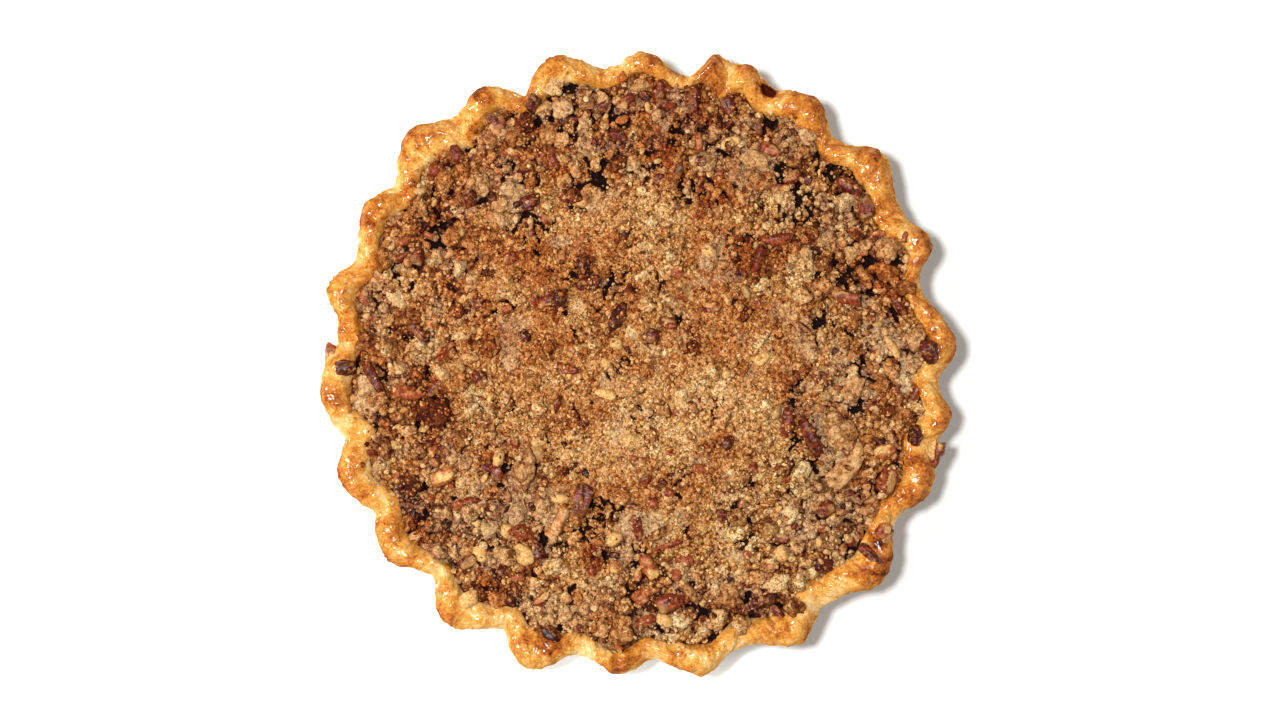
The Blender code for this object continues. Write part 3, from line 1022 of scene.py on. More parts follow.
NAMED_PIECES = (
    *named(
        PieceKind.PECAN,
        (-7.5, 18, 12, 5.6, 50, 0.02), (-19, 32, 9, 5.5, 20, 0.1), (-31.5, 25.5, 8.5, 7, 70, 0.05),
        (-36, 24.5, 6, 4.5, 20, 0.35), (-21, 38.5, 5, 8, 0, 0.05), (-22.5, 49, 8, 3, 50, 0.45),
        (-42.5, 64.5, 8, 6, 25, 0.15), (-34, 80.5, 6.5, 4, 110, 0.4), (-37, 57.5, 6, 2.8, 140, 0.5),
        (-57, 97, 8.5, 6, 110, 0.25), (-42, 104, 6, 5, 60, 0.1), (-29, 97, 4.5, 4.5, 0, 0.1),
        (-13.5, 102.5, 5, 4.5, 20, 0.15), (-5, 104, 9.5, 4.6, 55, 0.35),
        (-7.5, 91, 7, 3.5, 150, 0.15), (9, 109, 9, 5, 70, 0.3), (12, 103, 8, 4.5, 160, 0.25),
        (23, 106.5, 11, 5, 85, 0.15), (36.5, 103, 9, 5.5, 110, 0.15), (48, 94.5, 6, 5, 80, 0.1),
        (53, 85, 9, 4.5, 150, 0.4), (62, 74, 6.5, 4.5, 30, 0.4), (25.5, 71.7, 7, 4.5, 90, 0.2),
        (24.5, 88, 8.5, 4, 95, 0.6), (85, 70.5, 10.5, 5.5, 140, 0.2),
        (92, 61.5, 8.5, 6.5, 100, 0.25), (96, 51.5, 4.5, 2.5, 10, 0.6), (56, 49, 11, 4.5, 10, 0.4),
        (48, 40, 12, 4, 65, 0.2), (41.5, 35, 5.5, 4, 30, 0.2), (29, 22, 6.5, 4, 0, 0.45),
        (12, 16, 7.5, 4.2, 165, 0.35), (4.6, 9.6, 7, 5, 20, 0.2), (17.3, 29, 5, 7, 10, 0.6),
        (84, 26.5, 12, 5.5, 165, 0.4), (105, 22.5, 9.5, 4.2, 118, 0.2),
        (-109.5, 25.5, 4.5, 3.5, 120, 0.5), (-107, 18.8, 5.5, 3.5, 170, 0.45),
        (-88.5, 42, 5.5, 6, 100, 0.2), (-94.5, 42.5, 5, 3, 20, 0.3),
        (-81, 76.5, 6.5, 5.5, 70, 0.35), (-72.5, 84, 8, 5.5, 120, 0.2),
        (-77.5, 5, 5, 7.5, 160, 0.5), (-105.5, -6, 12, 4, 120, 0.2),
        (-88.5, 13.5, 10, 3.5, 130, 0.2), (-45, 10.5, 5.5, 4, 120, 0.1),
        (-52, 21.5, 4, 3.5, 0, 0.55), (-41, 24.5, 5, 4, 110, 0.45), (-51, 42, 5.5, 4.5, 20, 0.4),
        (-27.5, -2.5, 8.5, 4, 165, 0.35), (-2, -38, 3.5, 2.5, 0, 0.5), (-93, -12, 12, 5, 170, 0.6),
        (-63, -6, 5, 5.5, 110, 0.25), (-81.5, -10, 8, 3, 60, 0.3), (-60.5, -41, 8, 6, 130, 0.05),
        (-56, -44, 6, 4, 100, 0.3), (-78, -46, 9.5, 6, 25, 0.75), (-22, -55, 12, 7, 70, 0.2),
        (-66, -55, 6.5, 3.2, 10, 0.3), (-31.5, -64, 12, 5, 60, 0.95), (-46, -68, 9, 6, 10, 0.4),
        (-39.5, -75, 5.5, 5.5, 90, 0.08), (-48, -86, 7, 3, 10, 0.55), (-38, -94.5, 7, 3.5, 35, 0.4),
        (-68, -79.5, 7, 5, 30, 0.3), (-32, -85, 6, 2.5, 170, 0.4), (-17.5, -82, 5, 4, 60, 0.4),
        (-35, -108, 8, 6, 120, 0.05), (0, -66, 9.5, 4, 100, 0.35), (-1, -57.5, 7, 2.5, 165, 0.25),
        (5.5, -56, 4, 4, 0, 0.45), (13, -95.5, 12, 6.2, 22, 0.35), (5, -81, 9, 6, 115, 0.65),
        (0.5, -84, 6.5, 3, 75, 0.85), (19, -79, 6, 4, 10, 0.5), (16, -84.5, 4, 4, 60, 0.5),
        (2.5, -93, 8.5, 5.5, 40, 0.6), (2.5, -103.5, 8.5, 4.2, 30, 0.45),
        (13, -72.5, 10, 2.2, 15, 0.4), (34.5, -61, 5, 4, 0, 0.1), (34.5, -31.5, 6, 5, 150, 0.05),
        (25, -42.5, 6, 3.2, 175, 0.6), (46.5, -42, 3.5, 3, 0, 0.4), (12, -51.5, 5, 3.5, 160, 0.45),
        (58, -70, 5.5, 4, 160, 0.4), (50, -95.5, 12, 5, 15, 0.1),
        (55.5, -99.5, 6.5, 3.5, 140, 0.35), (60, -24.5, 11, 5.5, 82, 0.3),
        (69.5, -29.5, 14, 6, 122, 0.15), (75, -58, 6.5, 6, 30, 0.25), (74, -66, 4, 3, 0, 0.45),
        (74.5, -80, 7, 6, 0, 0.08), (98.5, -67, 5.5, 5.5, 40, 0.45), (100, -46.5, 9.5, 7, 70, 0.42),
        (89, -67.5, 6, 3, 100, 0.35), (98.5, -35.5, 8, 4.8, 20, 0.75), (116.8, 4.5, 9, 7, 95, 0.1),
        (110.4, -28.3, 7, 5.5, 95, 0.05), (110.6, -12, 6, 4, 60, 0.35),
        (-116.8, -2, 7.5, 6, 10, 0.1), (92.5, -76, 9, 4.5, 135, 0.2),
        (99.5, -68.5, 6, 4.5, 40, 0.35), (106.5, 50, 4, 2.5, 80, 0.45),
    ),
    *named(
        PieceKind.CHIP,
        (-45.5, -76.5, 8.5, 6, 140, 0.9), (-40.5, -36, 7.5, 4.5, 80, 0.6),
        (-67.5, -94.5, 8, 6.5, 20, 0.9), (-63, -76, 7, 5.5, 150, 0.9),
        (-52, -67, 5.5, 5.5, 60, 0.6), (-31, -54, 7, 3.8, 170, 0.8), (-55.5, -38, 4, 7.5, 170, 0.8),
        (-8.5, 7.5, 5, 4.5, 0, 0.8), (-12.5, -0.5, 3.5, 5, 0, 0.7), (-12, -12.5, 8, 3.5, 165, 0.8),
        (-1.5, -31.5, 8.5, 5.5, 170, 0.7), (50, 2, 6.5, 4.5, 40, 0.9),
        (35.5, -4.5, 3.5, 3.5, 0, 0.9), (57.5, -76, 6, 5.5, 100, 0.6), (101, 7.2, 11, 3, 121, 0.5),
        (72.5, -71.5, 2.5, 4.5, 0, 1), (11, -103, 6.5, 4.5, 160, 0.8),
        (28.5, 44.5, 5.5, 4.5, 150, 0.9), (37, 88, 8, 4, 20, 0.8), (-9, -70.5, 7.5, 5.5, 40, 0.6),
    ),
    *named(
        PieceKind.CLUMP,
        (-60, 6, 8, 7.5, 0, 0.15), (-91, 17, 11, 9, 40, 0.25), (-108.5, 9, 9.5, 8.5, 0, 0.15),
        (-86.5, 62.5, 9, 8.5, 30, 0.25), (-77.5, 72, 8, 9.5, 20, 0.4),
        (-44.5, 95.5, 8, 8.5, 0, 0.1), (-50, 91.5, 7, 6.5, 0, 0.3), (-75, 50.5, 8.5, 7, 30, 0.4),
        (-99, 6, 7, 8.5, 0, 0.4), (-97, 26.5, 9, 7, 140, 0.5), (-30.5, 101.5, 7.5, 7, 0, 0.9),
        (-36, 91, 7.5, 8, 20, 0.4), (-14, 106, 6.5, 5, 0, 0.7), (27, 80.5, 10.5, 7.5, 10, 0.75),
        (76.5, 58, 7, 6.5, 30, 0.1), (69, 51.5, 6, 5.5, 30, 0.1), (76.5, 50, 7, 5, 20, 0.3),
        (86.5, 51.5, 6, 5.5, 0, 0.1), (91, 47.5, 6, 5.5, 0, 0.6), (99, 45.5, 9.5, 9, 60, 0.7),
        (99.5, 36.5, 10, 7.5, 160, 0.6), (106.4, 30, 8.5, 7.5, 0, 0.25), (82.5, 64, 8, 7, 0, 0.6),
        (86.5, 17, 9, 8, 0, 0.25), (109.8, 9.5, 9.5, 8, 80, 0.5), (-81, -21, 13, 12, 0, 0.05),
        (-107.8, -10, 9.5, 9, 20, 0.7), (-109.5, -17.5, 9, 8, 100, 0.75),
        (-104, -14.5, 7, 6.5, 0, 0.55), (-90.5, -49, 9.5, 7.5, 80, 0.05),
        (-58.5, -52, 6, 6.5, 0, 0.2), (-53.5, -52, 5.5, 6, 60, 0.2),
        (-47.5, -59.5, 9, 7.5, 100, 0.35), (-78, -59.5, 7, 9, 20, 0.3),
        (-52.5, -77.5, 9, 8, 0, 0.5), (-36.5, -57.5, 7.5, 5.5, 20, 0.5),
        (-33.5, -81, 8, 6.5, 20, 0.7), (-13, -94.5, 9.5, 9, 90, 0.3), (-5.5, -106, 12, 8, 78, 0.3),
        (17.5, -103.5, 10, 6.5, 155, 0.8), (13, -110.5, 8, 5, 10, 0.7),
        (33, -101.5, 8.5, 8, 45, 0.75), (41.5, -104.5, 8.5, 7.5, 20, 0.6),
        (26.5, -107, 7, 5, 20, 0.7), (35.5, -94, 10, 8.5, 150, 0.35), (56, -88, 10, 7, 30, 0.75),
        (64, -88, 5.5, 8, 10, 0.7), (63, -97.5, 8, 8, 0, 0.2), (53, -81, 7.5, 4.5, 20, 0.5),
        (21, -57.5, 8, 6, 10, 0.3), (28, -55, 5.5, 5.5, 30, 0.3), (52.5, -67, 8.5, 7, 0, 0.4),
        (-3, -9.8, 11, 6.5, 10, 0.5), (70, -84, 5, 6, 0, 0.6), (60, -6, 6, 7, 100, 0.3),
        (-52, 28, 9, 7, 20, 0.45), (-38, 34.5, 7, 5.5, 100, 0.15), (-63, 24.5, 7, 5, 60, 0.1),
    ),
    *named(
        PieceKind.DOUGH,
        (80.8, -26.5, 16.5, 11.5, 105, 0.48), (86.2, -10.5, 10.5, 8, 60, 0.6),
        (91.1, -57.3, 15.5, 10, 78, 0.45), (83, -43.5, 15, 9, 40, 0.7), (8, -68, 12, 5, 30, 0.3),
        (20, -91, 6, 10, 30, 0.35), (-56, 93, 8, 4.5, 150, 0.65), (46.5, 81, 13, 6, 155, 0.6),
        (-45, -43, 9, 18, 160, 0.5),
    ),
)
# Broad mounds of crumble. Their strength is their tone, from 0, the brownest, to 1.
MOUNDS = marks(
    (39.5, 70, 19, 16, 70, 0.1), (13.5, 82, 17, 13, 100, 0.2), (60, 65, 18, 15, 100, 0.6),
    (67, 21, 19, 15, 130, 0.3), (-70, 64, 13, 9, 160, 0.35), (-60, 50, 16, 11, 10, 0.35),
    (-33, 16, 20, 15, 130, 0.25), (-85, 31, 12, 10, 60, 0.5), (-86, -62, 10, 16, 10, 0.3),
    (-65, -48, 14, 11, 30, 0.55), (38, -66, 17, 13, 150, 0.75), (-17, -76, 13, 12, 60, 0.2),
    (62, -42, 19, 14, 40, 0.6), (82, 33, 14, 9, 0, 0.35), (94, 20, 12, 10, 30, 0.5),
    (-98, -22, 13, 10, 90, 0.3), (-75, -72, 11, 8, 130, 0.45),
)
# Cracks between the lumps: the bed sinks there and is painted dark as shade.
CREVICES = marks(
    (-78, 55.5, 5, 4, 0), (-73, 57, 6, 3, 150), (-80.5, 60, 7, 2.2, 120), (-82, 68.5, 2, 4.5, 0),
    (-75, 68.5, 3, 2.4, 0), (-66.5, 86.5, 6, 2.6, 30), (-43.5, 88, 5, 1.8, 30),
    (-40, 96.5, 3, 4, 0), (-34, 98, 4, 3, 60), (-28, 90.5, 2.5, 5, 0), (-40.5, 44, 6, 2.2, 170),
    (-77.5, 47, 3.5, 2, 20), (-57, 22, 2.5, 5, 0), (-79, 15.5, 3, 2.4, 160),
    (-99.5, 14, 2.6, 5, 10), (-93, 10, 4, 1.8, 150), (-84, -3, 2, 8.5, 5), (-99.5, -1, 5, 1.6, 150),
    (-57, -57, 8, 1.8, 135), (-53, -42, 2.4, 5, 165), (-13, -76.5, 1.9, 7, 15),
    (-84.5, -50, 2.2, 7, 20), (-84.5, -61, 2.4, 7, 0), (-18, -56, 2.6, 5, 10),
    (-37.5, -70.5, 3.6, 7, 0), (-41, -84, 6, 4, 90, 0.7), (-73.5, -54, 3, 3, 0),
    (-60.5, -90.5, 6, 1.6, 140), (19.5, -67, 2.8, 5, 0), (16, -52.5, 6, 1.8, 140),
    (39, -57, 5, 2.2, 10), (73, -36, 3, 7, 160), (68.5, -84, 2, 7, 0), (57, -96.5, 5, 3.4, 20),
    (44, -93.5, 6, 3, 60), (21.5, -89, 2.4, 6, 150), (25.5, -98, 2.4, 5, 20),
    (50, -67.5, 1.8, 5, 20), (27.5, 68, 5, 2.2, 20), (21, 64.5, 4, 3, 0), (49.5, 64, 2.2, 9, 0),
    (17, 93, 9, 2.4, 170), (34, 84, 7, 2.4, 150), (85, 45, 4, 2, 150), (92.5, 41.5, 7, 4, 140),
    (79, 39.5, 6, 2, 10), (74, 19.5, 2.6, 5, 0), (102.5, 20, 2.2, 9, 20), (84, 12, 5, 2, 150),
    (81.5, 67.5, 4, 2, 0), (98, 34, 4, 2.4, 20), (-29, 20, 4, 2.4, 140), (-25, 12, 2, 7, 20),
    (3.5, -76, 2, 3, 0), (-97, 85, 3, 2, 0),
)
# Where the crumble baked lighter than the rest, or darker if below 0. The dark mark at (27, 69)
# beside the mound at (39.5, 70) is painted shade.
SHADES = marks(
    (50, 42, 36, 15, 25, -0.75), (96, 38, 34, 13, 115, -0.7), (76, 27, 22, 10, 160, -0.4),
    # The mark at (27, 69) is painted shade beside a mound.
    (27, 69, 10, 20, 0, -0.7), (28, 95, 20, 11, 160, -0.75), (0, 87, 32, 10, 170, -0.6),
    (2, 104, 34, 9, 0, -0.5), (-36, 98, 26, 10, 20, -0.5), (-80, 58, 16, 10, 30, -0.7),
    (-33, 25, 12, 13, 0, -0.7), (-20, 42, 9, 22, 10, -0.6), (-40, 46, 16, 8, 10, -0.4),
    (-83, -15, 32, 15, 130, -0.75), (-90, -54, 18, 16, 120, -0.6), (-108, -20, 9, 40, 8, -0.4),
    (-57, -42, 14, 11, 150, -0.6), (-40, -75, 11, 30, 15, -0.6), (-55, -95, 26, 13, 150, -0.45),
    (-20, -56, 12, 11, 0, -0.5), (-18, -78, 12, 11, 0, -0.6), (6, -94, 24, 22, 0, -0.5),
    (46, -97, 24, 13, 20, -0.7), (67, -28, 14, 28, 30, -0.5), (58, -10, 8, 14, 0, -0.4),
    (33, -31, 16, 8, 10, -0.35), (84, -84, 20, 9, 45, -0.5), (91, -50, 14, 18, 0, -0.4),
    (-92, 16, 14, 12, 0, -0.4), (-62, 22, 12, 9, 0, -0.35), (14, 12, 26, 6, 20, -0.3),
    (-90, 46, 22, 10, 60, -0.4), (-38, -5, 18, 14, 0, 0.55), (-14, -2, 16, 13, 0, 0.5),
    (16, -18, 56, 30, 0, 0.45), (-4, -38, 46, 20, 0, 0.5), (44, -12, 24, 34, 0, 0.3),
    (-20, 62, 32, 26, 30, 0.35), (8, 58, 24, 16, 0, 0.45), (-50, 60, 30, 34, 0, 0.15),
    (-72, -72, 60, 26, -45, -0.25), (51, 6, 13, 15, 0, 0.5), (-94, 32, 15, 17, 0, 0.6),
    (41, -74, 20, 16, 0, 0.7), (109, -8, 11, 20, 0, 0.6), (-24, 20, 9, 10, 0, 0.5),
    (-50, 28, 14, 12, 0, 0.35), (60, 67, 20, 16, 0, 0.3), (63, 37, 9, 15, 0, 0.4),
    (64, -44, 24, 16, 40, 0.35), (-62, -22, 22, 18, 0, 0.25),
)
# Where pale, dry dough shows between the lumps.
FLOUR = marks(
    (76, -31, 14, 26, 20, 0.7), (70, -62, 24, 26, 0, 0.55), (85, -8, 16, 22, 0, 0.55),
    (97, 10, 18, 18, 0, 0.6), (108, -4, 11, 18, 0, 0.6), (-50, -60, 18, 34, 150, 0.5),
    (-72, -62, 22, 20, 0, 0.5), (-46, -44, 12, 20, 160, 0.6), (1, -66, 28, 15, 10, 0.6),
    (-34, -98, 34, 13, 170, 0.4), (30, 44, 10, 14, 150, 0.6), (28, 80, 14, 12, 0, 0.5),
    (48, 81, 20, 10, 155, 0.6), (-32, 100, 16, 8, 0, 0.5), (20, -92, 12, 18, 0, 0.5),
    (88, -62, 26, 22, 60, 0.45), (-108, -12, 12, 18, 0, 0.5), (68, 10, 12, 18, 0, 0.4),
    (-100, 28, 14, 12, 0, 0.3),
)


# How sharp the edges of most broken pieces are.
SHARPNESS = 14.0
# Height from which pieces fall, and half the width of the square they fall in, in millimetres.
DROP_HEIGHT = 90.0
FIELD = 121.0


class SeedShape:
    """A ball of triangles that is copied to every crumb of one kind."""

    def __init__(self, subdivisions: int) -> None:
        """Makes the ball.

        Args:
            subdivisions: 1 gives 20 faces, and each one more gives four times as many.
        """
        shape = bmesh.new()
        bmesh.ops.create_icosphere(shape, subdivisions=subdivisions, radius=1.0)
        shape.verts.index_update()
        self.points = np.array([vertex.co for vertex in shape.verts])
        self.faces = np.array([[vertex.index for vertex in face.verts] for face in shape.faces])
        shape.free()

    def chunks(
        self, draw: np.random.Generator, count: int, planes: int, sharpness: float, nearest: float
    ) -> Array:
        """Bends the ball to broken chunks, each bounded by its own rounded planes.

        Args:
            draw: Draws the planes.
            count: How many chunks.
            planes: How many planes each has.
            sharpness: How sharp their edges are.
            nearest: Distance of the nearest planes from the middle, as a share.

        Returns:
            The corners of each chunk.
        """
        normals = draw.normal(size=(count, planes, 3))
        normals /= np.linalg.norm(normals, axis=2, keepdims=True)
        depths = draw.uniform(nearest, 1.0, (count, planes))
        ways = self.points / np.linalg.norm(self.points, axis=1, keepdims=True)
        facing = np.maximum(0.0, np.einsum("nkj,vj->nvk", normals, ways)) / depths[:, None]
        size = (1.0 + (facing**sharpness).sum(axis=2)) ** (-1.0 / sharpness)
        return ways[None] * (size / size.mean(axis=1, keepdims=True))[:, :, None]


@dataclass
class Crumbs:
    """Many crumbs of one kind: half axes, turn and place of each, in millimetres and radians."""

    place: Array
    half: Array
    turns: Array

    def rotations(self) -> Array:
        """Works out each crumb's rotation matrix from its three turns."""
        around_x, around_y, around_z = self.turns.T
        cx, sx = np.cos(around_x), np.sin(around_x)
        cy, sy = np.cos(around_y), np.sin(around_y)
        cz, sz = np.cos(around_z), np.sin(around_z)
        rows = np.empty((len(self.turns), 3, 3))
        rows[:, 0] = np.stack([cz * cy, cz * sy * sx - sz * cx, cz * sy * cx + sz * sx], axis=1)
        rows[:, 1] = np.stack([sz * cy, sz * sy * sx + cz * cx, sz * sy * cx - cz * sx], axis=1)
        rows[:, 2] = np.stack([-sy, cy * sx, cy * cx], axis=1)
        return rows

    def mesh(self, seed: SeedShape, forms: Array) -> tuple[Array, Array]:
        """Copies a seed shape to every crumb.

        Args:
            seed: The seed shape.
            forms: For each crumb, the seed's corners as that crumb bends them.

        Returns:
            All corners in millimetres, and all faces.
        """
        scaled = forms * self.half[:, None, :]
        turned = np.einsum("nij,nkj->nki", self.rotations(), scaled)
        points = turned + self.place[:, None, :]
        count = len(self.place)
        shift = np.arange(count)[:, None, None] * len(seed.points)
        faces = seed.faces[None] + shift
        return points.reshape(-1, 3), faces.reshape(-1, 3)

    def up(self, forms: Array) -> Array:
        """Says how far up its crumb each corner is, from -1 to 1."""
        turned = np.einsum("nij,nkj->nki", self.rotations(), forms)
        return turned[:, :, 2].ravel()


@dataclass(frozen=True)
class Breakage:
    """How one kind of lump breaks: into planes that meet in rounded edges, with a rough surface.

    The surface's noise is read farther apart than the lumps lie, so that neighbours differ.
    """

    fineness: int
    planes: int
    rough_mm: float
    octaves: int
    rough_share: float
    apart: float
    sharpness: float = SHARPNESS
    nearest: float = 0.5

    def lumps(
        self, draw: np.random.Generator, noise: GradientNoise, crumbs: Crumbs
    ) -> tuple[SeedShape, Array, Array]:
        """Breaks lumps.

        Args:
            draw: Draws their planes.
            noise: Roughens them.
            crumbs: Their places and sizes.

        Returns:
            The seed shape, the corners of each lump and the roughness there.
        """
        seed, count = SeedShape(self.fineness), len(crumbs.place)
        forms = seed.chunks(draw, count, self.planes, self.sharpness, self.nearest)
        corners = forms * crumbs.half[:, None] + crumbs.place[:, None] * self.apart
        rough = noise.fractal(corners.reshape(-1, 3), self.rough_mm, self.octaves).reshape(count, -1)
        forms *= (1.0 + self.rough_share * rough)[:, :, None]
        return seed, forms, rough


@dataclass
class Heap:
    """What already lies on the pie, for the next layer to fall on."""

    points: list[Array] = field(default_factory=list)
    faces: list[Array] = field(default_factory=list)
    kinds: list[Array] = field(default_factory=list)
    tree: BVHTree | None = None

    def add(self, points: Array, faces: Array, kind: int) -> None:
        """Adds a layer and makes the heap ready to be landed on.

        Args:
            points: Its corners in millimetres.
            faces: Its triangles.
            kind: A number that land() gives back for this layer.
        """
        start = sum(len(part) for part in self.points)
        self.points.append(points)
        self.faces.append(faces + start)
        self.kinds.append(np.broadcast_to(kind, len(faces)))
        corners, triangles = np.concatenate(self.points), np.concatenate(self.faces)
        self.tree = BVHTree.FromPolygons(corners.tolist(), triangles.tolist(), all_triangles=True)

    def add_object(self, obj: Object, kind: int, lowest: float) -> None:
        """Adds the upper part of a mesh object.

        Args:
            obj: The object.
            kind: A number that land() gives back for it.
            lowest: Triangles with a corner below this height in millimetres are left out.
        """
        points = corners_of(obj)
        obj.data.calc_loop_triangles()
        faces = np.zeros(len(obj.data.loop_triangles) * 3, np.int32)
        obj.data.loop_triangles.foreach_get("vertices", faces)
        faces = faces.reshape(-1, 3)
        self.add(points, faces[(points[faces, 2] > lowest).all(axis=1)], kind)

    def land(self, x: Array, y: Array) -> tuple[Array, Array, Array]:
        """Drops points straight down on to the heap.

        Args:
            x: Places across.
            y: Places along.

        Returns:
            The height and the normal where each lands, and the kind of what it lands on.
        """
        kinds = np.concatenate(self.kinds)
        heights = np.zeros(len(x))
        normals = np.zeros((len(x), 3))
        landed = np.full(len(x), -1)
        down = Vector((0.0, 0.0, -1.0))
        for i, (across, along) in enumerate(zip(x, y)):
            hit, normal, index, _ = self.tree.ray_cast(Vector((across, along, DROP_HEIGHT)), down)
            if hit is not None:
                heights[i] = hit.z
                normals[i] = normal
                landed[i] = kinds[index]
        return heights, normals, landed


BED_KIND, CLUMP_KIND, DOUGH_KIND, NUT_KIND, NUGGET_KIND, CRUST_KIND = range(6)
# The share of crumbs that stay where they land, for each kind of piece they land on.
SETTLING_SHARE = np.array([1.0, 0.42, 0.12, 0.16, 0.7, 0.6])
CLUMP_BREAKAGE = Breakage(3, 9, 3.0, 3, 0.44, 3.1)
DOUGH_BREAKAGE = Breakage(4, 8, 3.2, 4, 0.20, 3.1, sharpness=22.0)
NUGGET_BREAKAGE = Breakage(2, 7, 1.7, 2, 0.34, 3.7)
# The sides that may be broken off a nut: the way each faces, and how near and far it may lie.
NUT_SIDES = (
    (1, 0, 0, 0.35, 0.95),
    (-1, 0, 0, 0.4, 1.0),
    (0, 1, 0, 0.35, 1.0),
    (0, -1, 0, 0.45, 1.1),
    (0, 0, 1, 0.4, 1.5),
)


def rows_of(pieces: list[NamedPiece]) -> Array:
    """Gives x, y, length, width and turn of named pieces in rows."""
    rows = [(p.x, p.y, p.length, p.width, math.radians(p.turn_deg)) for p in pieces]
    return np.array(rows).T


@dataclass
class CrumbleTopping:
    """The crumble: a lumpy bed under clumps, nuts, nuggets and sand, each piled on the last."""

    crust: FlutedCrust
    edge_top: float = 43.4
    dome_rise: float = 5.8
    dome_power: float = 2.4
    overlap: float = 0.4
    bottom: float = 38.5
    bed_cells: int = 300
    lump_mm: float = 12.0
    lump_height: float = 1.4
    small_lump_mm: float = 5.0
    small_lump_height: float = 1.1
    crumb_mm: float = 2.2
    crumb_height: float = 0.6
    mound_share: float = 0.17
    mound_tone: float = 0.45
    crevice_mm: float = 8.0
    crevice_depth: float = 3.7
    clumps: int = 430
    nuts: int = 370
    nuggets: int = 1600
    sand: int = 8900
    clump_spill: float = 3.2
    spill: float = 4.6
    chunky_band: tuple[float, float] = (0.45, 0.86)
    chunky_wander: float = 0.16
    shade_wobble: float = 0.30
    # How brown the crumble is, from 0 to 1: everywhere, then what each thing adds to it.
    toast_mean: float = 0.44
    toast_side: float = 0.14
    toast_wander: float = 0.30
    toast_shade: float = -0.35
    toast_mound: float = 0.6
    side_way: tuple[float, float] = (-0.5, 0.75)
    side_reach: float = 113.0
    flour_patch: float = 0.3
    flour_mark: float = 0.75
    flour_wobble: float = 0.4
    crack_inset: float = 0.20
    crack_wobble: float = 0.35
    mound_wobble: float = 0.20
    spacing: float = 0.42
    open_crack: float = 0.25
    chip_share: float = 0.26
    seed: int = 12
    wide: GradientNoise = field(default_factory=lambda: GradientNoise(21))
    fine: GradientNoise = field(default_factory=lambda: GradientNoise(22))
    draw: np.random.Generator = field(init=False)
    heap: Heap = field(default_factory=Heap)

    def __post_init__(self) -> None:
        """Seeds the random draws."""
        self.draw = np.random.default_rng(self.seed)

    # -- maps of the topping ---------------------------------------------------------------

    def edge(self, x: Array, y: Array) -> Array:
        """Reads the radius of the bed's side in the direction of each place."""
        return self.crust.inner_edge(np.arctan2(y, x)) + self.overlap

    def out(self, x: Array, y: Array) -> Array:
        """Says how far out each place is, from 0 in the middle to 1 at the crust."""
        return np.hypot(x, y) / self.edge(x, y)

    def chunkiness(self, x: Array, y: Array) -> Array:
        """Says how chunky the crumble is, from 0 for fine sand to 1 for lumps and nuts."""
        wander = self.chunky_wander * self.wide.fractal(flat(x, y) + 31.0, 38.0, 2)
        return smoothstep(*self.chunky_band, self.out(x, y) + wander)

    def shade(self, x: Array, y: Array) -> Array:
        """Says how much lighter the crumble baked than the rest, or darker if below 0."""
        wobble = self.shade_wobble * self.wide.fractal(flat(x, y) + 13.0, 9.0, 3)
        return sum(mark.strength * mark.share(x, y, wobble) for mark in SHADES)

    def toast(self, x: Array, y: Array) -> Array:
        """Says how brown the crumble baked, from 0 to 1: most at the upper left."""
        side = (self.side_way[0] * x + self.side_way[1] * y) / self.side_reach
        brown = self.toast_mean + self.toast_side * side
        brown += self.toast_wander * self.wide.fractal(flat(x, y) + 77.0, 24.0, 3)
        brown += self.toast_shade * self.shade(x, y)
        return np.clip(brown + self.toast_mound * self.mounds(x, y)[1], 0.0, 1.0)

    def flour(self, x: Array, y: Array) -> Array:
        """Says where pale, dry dough shows between the lumps, from 0 to 1."""
        patches = self.wide.fractal(flat(x, y) - 55.0, 14.0, 2) + 0.30 * self.chunkiness(x, y)
        dusty = self.flour_patch * smoothstep(0.25, 0.6, patches)
        wobble = self.flour_wobble * self.fine.fractal(flat(x, y) + 23.0, 6.0, 3)
        for mark in FLOUR:
            patch = self.flour_mark * mark.strength * mark.share(x, y, wobble)
            dusty = np.maximum(dusty, patch)
        return dusty

    def crevices(self, x: Array, y: Array) -> Array:
        """Says how deep the cracks between lumps are, from 0 to 1; the bed sinks there and is painted
        dark as shade.
        """
        ridges = 1.0 - 2.0 * np.abs(self.fine.fractal(flat(x, y) + 9.0, self.crevice_mm, 2))
        gate = self.wide.at(flat(x, y) - 20.0, 14.0) + 0.25 * self.chunkiness(x, y)
        cracks = smoothstep(0.66, 0.97, ridges) * smoothstep(0.15, 0.52, gate)
        rough = self.fine.fractal(flat(x, y) + 3.0, 2.4, 2)
        wobble = self.crack_inset + self.crack_wobble * rough
        for mark in CREVICES:
            cracks = np.maximum(cracks, mark.strength * mark.share(x, y, wobble))
        return cracks

    def mounds(self, x: Array, y: Array) -> tuple[Array, Array]:
        """Works out the broad mounds.

        Args:
            x: Places across.
            y: Places along.

        Returns:
            How high each place is raised in millimetres, and how much browner it is.
        """
        rise, brown = np.zeros(len(x)), np.zeros(len(x))
        wobble = self.mound_wobble * self.fine.fractal(flat(x, y) - 70.0, 5.0, 3)
        for mound in MOUNDS:
            away = mound.away(x, y) + wobble
            dome = np.sqrt(np.clip(1.0 - away * away, 0.0, 1.0))
            rise = np.maximum(rise, self.mound_share * mound.width * dome)
            browner = (self.mound_tone - mound.strength) * smoothstep(0.0, 0.4, dome)
            brown = np.where(dome > 0.0, browner, brown)
        return rise, brown

    def bed_height(self, x: Array, y: Array) -> Array:
        """Works out the height of the bed's top in millimetres."""
        place = flat(x, y)
        out = np.minimum(self.out(x, y), 1.0)
        height = self.edge_top + self.dome_rise * (1.0 - out**self.dome_power)
        height += self.lump_height * self.wide.at(place, self.lump_mm)
        height += self.small_lump_height * self.wide.at(place + 40.0, self.small_lump_mm)
        height += self.crumb_height * self.fine.fractal(place, self.crumb_mm, 2)
        height += self.mounds(x, y)[0]
        return height - self.crevice_depth * self.crevices(x, y)

    # -- the bed ---------------------------------------------------------------------------

